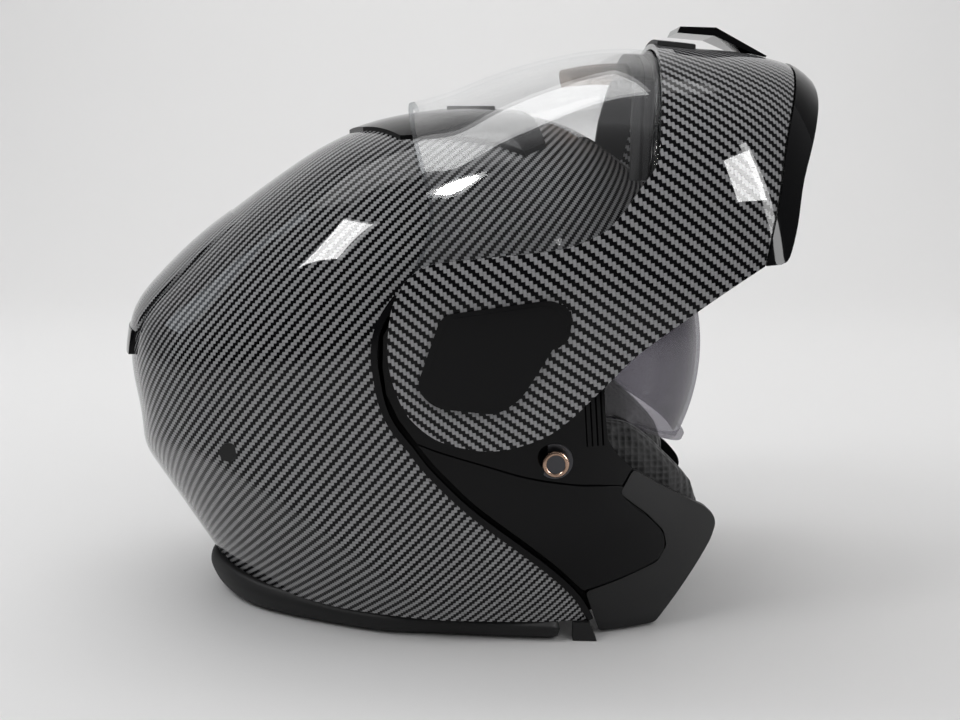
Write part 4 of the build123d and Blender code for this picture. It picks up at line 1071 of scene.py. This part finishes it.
# Camera, at the photograph's angle; its place is in metres
FOCAL_PX = 1365
IMAGE_WIDTH_PX = 960
SENSOR_MM = 36.0
CAMERA_AT = (.007, -.700, .235)
CAMERA_DOWN = 9.5           # degrees below level
cam = bpy.data.cameras.new("camera")
cam.sensor_width = SENSOR_MM
cam.lens = SENSOR_MM * FOCAL_PX / IMAGE_WIDTH_PX
cam.clip_start = .01
camera = bpy.data.objects.new("camera", cam)
bpy.context.scene.collection.objects.link(camera)
camera.location = CAMERA_AT
camera.rotation_euler = (math.radians(90 - CAMERA_DOWN), 0, 0)
bpy.context.scene.camera = camera

# Lamps, in metres and watts: name, place, aim, size, power, colour and kind. A gloss lamp shows as a
# highlight and lights nothing else, and a diffuse lamp leaves no highlight.
WHITE, COLD = (1, 1, 1), (.86, .93, 1.0)
LAMPS = [
    ("key", (-.82, -.86, 1.48), (0, 0, .14), (.50, .70), 7.0, WHITE, "all"),
    ("window", (-.84, -.84, 1.46), (-.06, -.09, .22), (.42, .66), 34, WHITE, "gloss"),
    ("strip", (1.5, -.78, .62), (0, 0, .2), (.12, 1.5), 9, WHITE, "gloss"),
    ("sheen", (-.3, .5, 1.9), (0, 0, .2), (1.8, .9), 9, WHITE, "gloss"),
    ("window_front", (1.45, -.95, .95), (.16, -.07, .24), (.40, .55), 26, WHITE, "gloss"),
    ("rear_key", (-1.5, .25, 1.15), (0, 0, .15), (.35, 1.1), 2.2, COLD, "all"),
    ("fill", (.9, -1.7, 1.5), (0, 0, .1), (1.6, 1.2), 10, WHITE, "diffuse"),
    ("top", (0, .1, 2.3), (0, .1, 0), (2.4, 2.4), 15, WHITE, "diffuse"),
    ("backlight", (0, .4, 1.9), (0, 2.4, .9), (2.6, 1.2), 24, WHITE, "diffuse")]
for name, at, aim, size, power, colour, kind in LAMPS:
    lamp = bpy.data.lights.new(name, "AREA")
    lamp.energy = power
    lamp.color = colour
    lamp.shape = "RECTANGLE"
    lamp.size, lamp.size_y = size
    o = bpy.data.objects.new(name, lamp)
    bpy.context.scene.collection.objects.link(o)
    o.location = at
    o.rotation_euler = (Vector(aim) - Vector(at)).to_track_quat("-Z", "Y").to_euler()
    if kind == "gloss":
        o.visible_diffuse = False
        o.visible_transmission = False
    if kind == "diffuse":
        o.visible_glossy = False

# World: a soft room, darker on the photographer's side
world = bpy.data.worlds.new("world")
bpy.context.scene.world = world
world.use_nodes = True
nt = world.node_tree
room = nt.nodes["Background"]
room.inputs[0].default_value = (.92, .92, .94, 1)
way = nt.nodes.new("ShaderNodeTexCoord")
part = nt.nodes.new("ShaderNodeSeparateXYZ")
shade = nt.nodes.new("ShaderNodeMapRange")
shade.inputs["From Min"].default_value = -.75
shade.inputs["From Max"].default_value = .25
shade.inputs["To Min"].default_value = .20
shade.inputs["To Max"].default_value = .36
nt.links.new(way.outputs["Generated"], part.inputs[0])
nt.links.new(part.outputs[1], shade.inputs["Value"])
nt.links.new(shade.outputs[0], room.inputs[1])

# Floor that bends up into a backdrop, in metres
FLOOR_FRONT, FLOOR_BACK, FLOOR_HALF = -6.0, 1.2, 14
BEND_RADIUS, BEND_STEPS, WALL_TOP = 1.1, 12, 3.6
FLOOR_DROP = .0004
profile = [(FLOOR_FRONT, 0.0), (FLOOR_BACK, 0.0)]
for k in range(1, BEND_STEPS + 1):
    t = math.radians(90 * k / BEND_STEPS)
    profile.append((FLOOR_BACK + BEND_RADIUS * math.sin(t), BEND_RADIUS * (1 - math.cos(t))))
profile.append((FLOOR_BACK + BEND_RADIUS, WALL_TOP))
me = bpy.data.meshes.new("floor")
me.from_pydata([(x, y, z - FLOOR_DROP) for y, z in profile for x in (-FLOOR_HALF, FLOOR_HALF)], [],
               [(2 * i, 2 * i + 1, 2 * i + 3, 2 * i + 2) for i in range(len(profile) - 1)])
floor = bpy.data.objects.new("floor", me)
bpy.context.scene.collection.objects.link(floor)
smooth_shaded(floor)
me.materials.append(material("floor", (.80, .795, .79), rough=.7, spec=.2)[0])

scene = bpy.context.scene
scene.view_settings.view_transform = "Standard"
scene.view_settings.look = "None"
